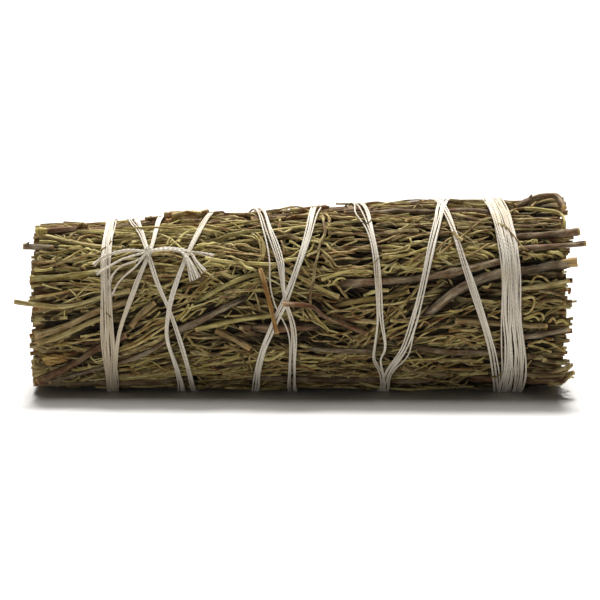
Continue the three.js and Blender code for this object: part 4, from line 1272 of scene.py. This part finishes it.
def leafy_shoots(patches, rng):
    """The shoots of each patch: start, lie, length, tone."""
    shoots = []
    for x, degrees, half_length, half_width, lie, count, tone in patches:
        for _ in range(count):
            middle_x = (x + rng.normal(0, 0.55) * half_length) * MM
            middle_degrees = degrees + rng.normal(0, 0.55) * half_width
            own_lie, length = lie + rng.normal(0, 12), rng.uniform(0.008, 0.020)
            own_tone = np.clip(tone + rng.normal(0, 0.10), 0.05, 1)
            shoots.append((middle_x, middle_degrees, own_lie, length, own_tone))
    return np.array(shoots)


LEAF_GAP = 0.0017  # along the shoot, from one leaf to the next
SHOOT_SECTIONS, SHOOT_SIDES = 10, 5
HOOKED_SHARE = 0.08  # leaves that have curled up
BURIED_SHARE = 0.9  # leaves that pass under the woody stems; the others lie over them
FADED_SHARE = 0.14  # leaves that have turned brown on their own


def leaves_on_shoots(name, shoots, rng):
    """The leafy shoots of one side of the bundle: one piece of their leaves and one of the shoots."""
    count = len(shoots)
    x, degrees, lie, length, tone = shoots.T
    lie = np.where(rng.random(count) < 0.5, lie, lie + 180)  # tips point either way
    x = x - length / 2 * np.cos(np.radians(lie))
    degrees = degrees - np.degrees(length / 2 * np.sin(np.radians(lie)) / MIDDLE_RADIUS)
    bend, wiggle = rng.normal(0, 22, count), np.full(count, 6.0)
    shoot_x, shoot_degrees = laid_lines(x, degrees, lie, length, bend, wiggle, SHOOT_SECTIONS, rng)
    shoot_size = rng.uniform(0.00018, 0.00032, count)
    shoot_lift = -rng.uniform(0.0004, 0.0016, (count, 1)) + 0 * shoot_x
    per_shoot = np.maximum(4, (length / LEAF_GAP).astype(int))
    owner = np.repeat(np.arange(count), per_shoot)
    leaves = len(owner)
    order = np.concatenate([np.arange(found) for found in per_shoot])
    place = (order + rng.uniform(0, 0.8, leaves)) / per_shoot[owner] * (SHOOT_SECTIONS - 1)
    low = np.minimum(place.astype(int), SHOOT_SECTIONS - 2)
    share = place - low

    def on_shoot(values):
        return values[owner, low] * (1 - share) + values[owner, low + 1] * share

    along_x = shoot_x[owner, low + 1] - shoot_x[owner, low]
    along_up = np.radians(shoot_degrees[owner, low + 1] - shoot_degrees[owner, low]) * MIDDLE_RADIUS
    hand = np.where(order % 2 == 0, 1, -1)
    spread = rng.uniform(6, 34, leaves) * hand
    heading = np.degrees(np.arctan2(along_up, along_x)) + spread
    leaf_length = rng.uniform(0.004, 0.0115, leaves) * (1 - 0.3 * order / per_shoot[owner])
    hooked = rng.random(leaves) < HOOKED_SHARE
    curl = np.where(hooked, rng.normal(0, 120, leaves), rng.normal(-1.0, 1.1, leaves) * spread)
    wiggle = rng.uniform(1, 14, leaves)
    starts = on_shoot(shoot_x), on_shoot(shoot_degrees)
    x, degrees = laid_lines(*starts, heading, leaf_length, curl, wiggle, len(LEAF_GIRTH), rng)
    t = np.linspace(0, 1, len(LEAF_GIRTH))
    size = rng.uniform(0.00017, 0.00031, leaves)
    arch = rng.normal(0.0002, 0.0003, (leaves, 1)) * np.sin(math.pi * t)
    tip = rng.normal(0, 0.0003, (leaves, 1)) * t
    lift = on_shoot(shoot_lift)[:, None] + arch + tip
    buried = rng.random(leaves) < BURIED_SHARE
    lift = np.where(buried[:, None], pass_under(x, degrees, lift, size[:, None]), lift)
    leaf_tone = np.clip(tone[owner] + rng.normal(0, 0.16, leaves), 0, 1)
    leaf_tone = np.where(rng.random(leaves) < FADED_SHARE, rng.uniform(0.15, 0.45, leaves), leaf_tone)
    inside = np.abs(x).max(axis=1) < BUNDLE_LENGTH / 2 + 0.0004
    x, degrees, lift, size, leaf_tone = (v[inside] for v in (x, degrees, lift, size, leaf_tone))
    lines = on_bundle(x, degrees, np.minimum(lift, LEAF_TOP))
    radii = size[:, None] * LEAF_GIRTH * rng.normal(1, 0.1, x.shape)
    outs = outward(degrees)
    dress_sprigs(
        join_strands(f"{name}_leaves", lines, radii, outs, leaf_tone, LEAF_SIDES, flat=0.6, cut=False)
    )
    shoot_lift = pass_under(shoot_x, shoot_degrees, shoot_lift, shoot_size[:, None])
    shoot_x = np.clip(shoot_x, -BUNDLE_LENGTH / 2, BUNDLE_LENGTH / 2)
    lines = on_bundle(shoot_x, shoot_degrees, shoot_lift)
    radii = shoot_size[:, None] * np.linspace(1.2, 0.7, SHOOT_SECTIONS)
    outs, tones = outward(shoot_degrees), np.clip(tone + 0.05, 0, 1)
    dress_sprigs(join_strands(f"{name}_shoots", lines, radii, outs, tones, SHOOT_SIDES))


rng = np.random.default_rng(37)
leaves_on_shoots("front", leafy_shoots(LEAFY_PATCHES, rng), rng)
ranges = [(-50, 50), (80, 280), (5, 10), (8, 16)]  # of x, degrees, half length and half width
hidden_patches = [
    (*(rng.uniform(*found) for found in ranges), rng.normal(0, 10), 6, rng.uniform(0.4, 0.75))
    for _ in range(HIDDEN_PATCHES)
]
leaves_on_shoots("back", leafy_shoots(hidden_patches, rng), rng)

# The cotton thread: one undyed thread of 0.3 mm, wound so often that each turn is a flat group of
# strands. From the knot it runs to the right band in open turns and back to the left band in
# others, which cross the first on the front. It is finished with a knot and eight frayed ends.
STRAND = 0.00015  # radius of one strand
STRAND_STEP = 0.0008
THREAD_LIFT = 0.00052  # of the strands' middles above the bundle's surface
# x in mm, degrees round the bundle, and the width of the group there in mm
TO_THE_RIGHT = [
    (-38.2, 215, 1.2), (-37.6, 150, 1.6), (-34.5, 100, 2.0), (-33.6, 80, 2.2), (-32, 62, 1.3),
    (-30.6, 44, 0.8), (-29, 25, 0.9), (-25.5, 0, 0.9), (-23, -28, 0.9), (-20.6, -81, 1.3),
    (-8.4, -267, 2.1), (-6.5, -300, 1.9), (-5.2, -315, 2.1), (-4.1, -328, 2.0), (-3.7, -337, 1.5),
    (-3.1, -349, 0.8), (-1.4, -367, 1.0), (-1.5, -394, 1.7), (-1, -433, 1.9),
    (12.8, -639, 2.1), (14.2, -665, 1.3), (15.6, -694, 1.5), (15.8, -723, 1.1), (15.1, -740, 1.0),
    (14.9, -748, 0.9), (16.5, -761, 0.9), (17.4, -793, 1.5), (29.2, -1005, 1.3),
    (32, -1040, 1.2), (35.2, -1071, 1.5), (38.8, -1106, 1.6), (40.4, -1148, 1.6), (41.6, -1195, 1.4),
]  # fmt: skip
TO_THE_LEFT = [
    (42.8, -432, 1.8), (28.8, -645, 2.0), (28, -661, 1.7), (26, -688, 1.5), (23, -724, 1.9),
    (21, -742, 1.6), (18, -760, 1.8), (17, -793, 2.4), (3.4, -981, 1.6), (1.5, -1030, 1.2),
    (-2.5, -1068, 1.5), (-5, -1084, 1.5), (-7.8, -1106, 1.6), (-9.4, -1153, 1.4),
    (-17.4, -1342, 1.4), (-20, -1375, 1.1), (-23, -1402, 0.9), (-26, -1431, 0.9),
    (-26.7, -1450, 0.9), (-24.6, -1480, 1.1), (-24, -1513, 1.3), (-28.6, -1716, 1.2),
    (-30.3, -1754, 0.9), (-33, -1778, 0.8), (-35.6, -1800, 0.8), (-37, -1820, 0.9),
    (-37.8, -1860, 1.0), (-38.2, -1905, 1.0),
]  # fmt: skip
LEFT_BAND = [
    (-38.2, 259.5, 2.3), (-38.4, 180, 2.2), (-38.8, 90, 2.2), (-39.2, 47, 1.9),
    (-38.8, 9, 2.4), (-38.4, -20, 2.6), (-38.2, -99.5, 2.3),
]  # fmt: skip
RIGHT_BAND = [
    (42.6, 259.5, 4.2), (41, 180, 3.8), (39.6, 90, 3.6), (41.2, 55, 3.8),
    (42.2, 30, 4.1), (42.3, 0, 4.2), (43.2, -30, 4.7), (42.6, -99.5, 4.7),
]  # fmt: skip

# Where single strands leave their group: the degrees, how far on either side, the way aside in mm
# and which strands
RIGHTWARD_STRAYS = [(-345, 24, -2.1, [0]), (-741, 13, 1.8, [3, 4]), (-648, 14, -1.1, [0])]
LEFTWARD_STRAYS = [(-985, 28, 1.3, [5]), (-745, 9, 0.7, [5]), (-1510, 14, -0.5, [0])]


def strand_group(route, count, layers, rng, wander=0.00009, lift=THREAD_LIFT, strays=()):
    """The strands of one group side by side: lines and outs, strand x section x 3."""
    route = smooth_line([(x, degrees, 0, width) for x, degrees, width in route], 2.0)
    x, degrees, _, width = route.T
    x, width = x * MM, width * MM
    around = np.radians(degrees) * MIDDLE_RADIUS
    run = np.concatenate([[0], np.cumsum(np.hypot(np.diff(x), np.diff(around)))])
    places = np.linspace(0, run[-1], round(run[-1] / STRAND_STEP))
    x, degrees, width = (np.interp(places, run, v) for v in (x, degrees, width))
    ahead_x, ahead_up = np.gradient(x), np.gradient(np.radians(degrees)) * MIDDLE_RADIUS
    size = np.hypot(ahead_x, ahead_up)
    across_x, across_up = -ahead_up / size, ahead_x / size
    seats = np.linspace(-0.5, 0.5, count) + rng.normal(0, 0.3 / count, count)
    phases = rng.uniform(0, 2 * math.pi, (count, 3))
    slow = np.sin(places / 0.0067 + phases[:, :1]) + np.sin(places / 0.0031 + phases[:, 1:2])
    offset = seats[:, None] * (width - 2 * STRAND) + wander * slow
    for middle, reach, aside, chosen in strays:
        offset[chosen] += aside * MM * np.exp(-(((degrees - middle) / reach) ** 2))
    above = 1.5 * STRAND * (np.arange(count) % layers)[:, None]
    above = above + 0.00006 * np.sin(places / 0.004 + phases[:, 2:])
    strand_x = x + offset * across_x
    strand_degrees = degrees + np.degrees(offset * across_up / MIDDLE_RADIUS)
    return on_bundle(strand_x, strand_degrees, lift + above), outward(strand_degrees)


cotton = bpy.data.materials.new("cotton_thread")
cotton.use_nodes = True
n = Nodes(cotton.node_tree)
shader = cotton.node_tree.nodes["Principled BSDF"]
grain = n.add("ShaderNodeAttribute", attribute_name="grain").outputs["Vector"]
tone = n.add("ShaderNodeAttribute", attribute_name="tone").outputs["Fac"]
parts = n.add("ShaderNodeSeparateXYZ", {"Vector": grain}).outputs
twist = n.math("MULTIPLY", n.math("ARCTAN2", parts["Y"], parts["Z"]), 2.0)
plies = n.math("SINE", n.math("ADD", n.math("MULTIPLY", parts["X"], 6.5), twist))
fuzz = n.noise(grain, 6.0, stretch=(0.5, 2.0, 2.0))
place = n.add("ShaderNodeTexCoord").outputs["Object"]
handled = n.between(n.noise(place, 90.0), 0.52, 0.68)
parts = n.add("ShaderNodeSeparateXYZ", {"Vector": place}).outputs
stained = n.math("MULTIPLY", n.between(parts["X"], -0.024, -0.036), n.between(parts["Z"], 0.032, 0.018))
colour = n.ramp(tone, [(0, paint(212, 201, 184)), (1, paint(238, 231, 216))])
colour = n.mix(n.math("MULTIPLY", handled, 0.5), colour, paint(200, 178, 138))
colour = n.mix(n.math("MULTIPLY", stained, 0.45), colour, paint(188, 164, 120))
# the grooves between the plies are darker: painted shade
colour = n.mix(n.math("MULTIPLY", n.between(plies, 0.2, -1.0), 0.35), colour, paint(160, 146, 120))
relief = n.math("ADD", n.math("MULTIPLY", plies, 0.6), n.math("MULTIPLY", fuzz, 0.8))
raised = n.add("ShaderNodeBump", {"Strength": 0.5, "Distance": 0.00008, "Height": relief})
n.tree.links.new(colour, shader.inputs["Base Color"])
n.tree.links.new(raised.outputs[0], shader.inputs["Normal"])
shader.inputs["Roughness"].default_value = 0.92
shader.inputs["Specular IOR Level"].default_value = 0.2
shader.inputs["Sheen Weight"].default_value = 0.25


def lay_thread(name, lines, outs, rng):
    radii, tones = np.full(lines.shape[:2], STRAND), rng.uniform(0, 1, len(lines))
    piece = join_strands(name, lines, radii, outs, tones, sides=6)
    piece.data.materials.append(cotton)
    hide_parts("tie_thread")


rng = np.random.default_rng(53)
lay_thread("thread_to_the_right", *strand_group(TO_THE_RIGHT, 5, 1, rng, strays=RIGHTWARD_STRAYS), rng)
lay_thread("thread_to_the_left", *strand_group(TO_THE_LEFT, 6, 1, rng, strays=LEFTWARD_STRAYS), rng)
lay_thread("left_band_thread", *strand_group(LEFT_BAND, 15, 2, rng, wander=0.00014), rng)
lay_thread("right_band_thread", *strand_group(RIGHT_BAND, 21, 2, rng, wander=0.00016), rng)

# The tails beyond the knot: loose ends of the thread, four to the left over the band and four to
# the right, each of three strands that flare where they are cut
OVER_THREAD = THREAD_LIFT + 0.0007
KNOT = (-30.6, 44)
TAILS = [
    [(*KNOT, 0.4), (-34.8, 46.5, 0.5), (-38, 45, 0.5), (-40, 42, 0.5), (-41.6, 37, 1.1)],
    [(*KNOT, 0.4), (-35.3, 41, 0.5), (-38, 36.5, 0.5), (-39.8, 33, 0.6), (-41, 31, 1.2)],
    [(*KNOT, 0.4), (-32.8, 38, 0.4), (-35.6, 36, 0.4), (-37.4, 31, 0.5), (-38.5, 23.5, 1.0)],
    [(*KNOT, 0.4), (-33, 34, 0.4), (-35.6, 27.5, 0.4), (-37, 22, 0.4), (-37.6, 17, 0.8)],
    [(*KNOT, 0.5), (-27.8, 46, 0.5), (-24.3, 42.5, 0.5), (-20.6, 41, 0.5), (-17.3, 38, 1.0)],
    [(*KNOT, 0.5), (-28, 45.2, 0.5), (-25, 44.5, 0.5), (-23.2, 39, 0.5), (-21.5, 23, 1.0)],
    [(*KNOT, 0.5), (-28, 44.6, 0.5), (-24.3, 43, 0.5), (-22.4, 37, 0.5), (-20.3, 24.5, 1.0)],
    [(*KNOT, 0.5), (-28, 45.8, 0.5), (-22.6, 42, 0.5), (-21, 35, 0.5), (-19.3, 28, 1.0)],
]
for number, route in enumerate(TAILS):
    lines, outs = strand_group(route, 3, 2, rng, wander=0.00005, lift=OVER_THREAD)
    lay_thread(f"thread_tail_{number + 1}", lines, outs, rng)

# The knot: the thread wound three times round itself with a loop over it, pulled tight where the
# turns to the left and to the right meet
KNOT_TURNS = 3.2
KNOT_LIFT = THREAD_LIFT + 0.0006
turn = np.linspace(0, KNOT_TURNS * 2 * math.pi, 60)
advance = 0.0002 * turn / math.pi - 0.0006
wound = np.stack([advance, 0.0006 * np.cos(turn), 0.00044 * np.sin(turn)], axis=1)
bend = np.linspace(-0.6 * math.pi, 0.6 * math.pi, 60)
rise = 0.0004 + 0.0003 * np.cos(bend)
loop = np.stack([0.0008 * np.sin(bend), 0.001 * np.cos(bend) - 0.0003, rise], axis=1)
knot_degrees = float(KNOT[1])
knot_out = outward(knot_degrees)
knot_up = np.cross(knot_out, [1.0, 0, 0])
knot_middle = on_bundle(KNOT[0] * MM, knot_degrees, KNOT_LIFT)
knot_lines = []
for path, lean in ((wound, 0.7), (wound, -0.6), (loop, 0.3)):
    along = np.array([math.cos(lean), 0, 0]) + math.sin(lean) * knot_up
    aside = np.cross(knot_out, along)
    knot_lines.append(knot_middle + path @ np.stack([along, aside, knot_out]))
knot_lines = np.array(knot_lines)
knot_outs = knot_lines - knot_middle + 0.0003 * knot_out + 1e-6
lay_thread("thread_knot", knot_lines, knot_outs, rng)

# Bits of twig, leaf and bark that broke off when the bundle was bound and lie loose over the
# thread: tone, radius in mm, how far it stands proud in mm, then its course as before
LOOSE_BITS = [
    (0.62, 0.22, 0, (-40.3, 49), (-39.4, 52), (-38.2, 57)),
    (0.1, 0.13, 0, (-40.1, 10), (-37.9, 3)),
    (0.08, 0.14, 0, (3, 59), (4.4, 60), (7.4, 61), (10.4, 62), (12.6, 60), (13.7, 59), (14.6, 63)),
    (0.13, 0.3, 0, (4.6, 69), (4.9, 57), (5.1, 52), (4.1, 45), (3.7, 37), (3, 29), (2.8, 22),
     (2.2, 15), (2, 10), (2.2, 4)),
    (0.12, 0.12, 0, (14.7, 29), (15.9, 33)),
    (0.5, 0.22, 0, (39.9, 56), (41.4, 53), (42.5, 48), (43.9, 42), (45, 37), (45.8, 36)),
    (0.5, 0.36, 0, (30.8, 49), (31.6, 46), (32.7, 43)),
    (0.5, 0.22, 0, (38.7, -43), (39.5, -43), (40.8, -40)),
    (0.1, 0.12, 0, (14.1, 2), (14.8, 2)),
    (0.1, 0.15, 0, (23.1, 72), (24, 77), (24.9, 73)),
]  # fmt: skip
BITS_LIFT = THREAD_LIFT + 0.0005
laid_strands("loose_bits", LOOSE_BITS, BITS_LIFT, False, rng)
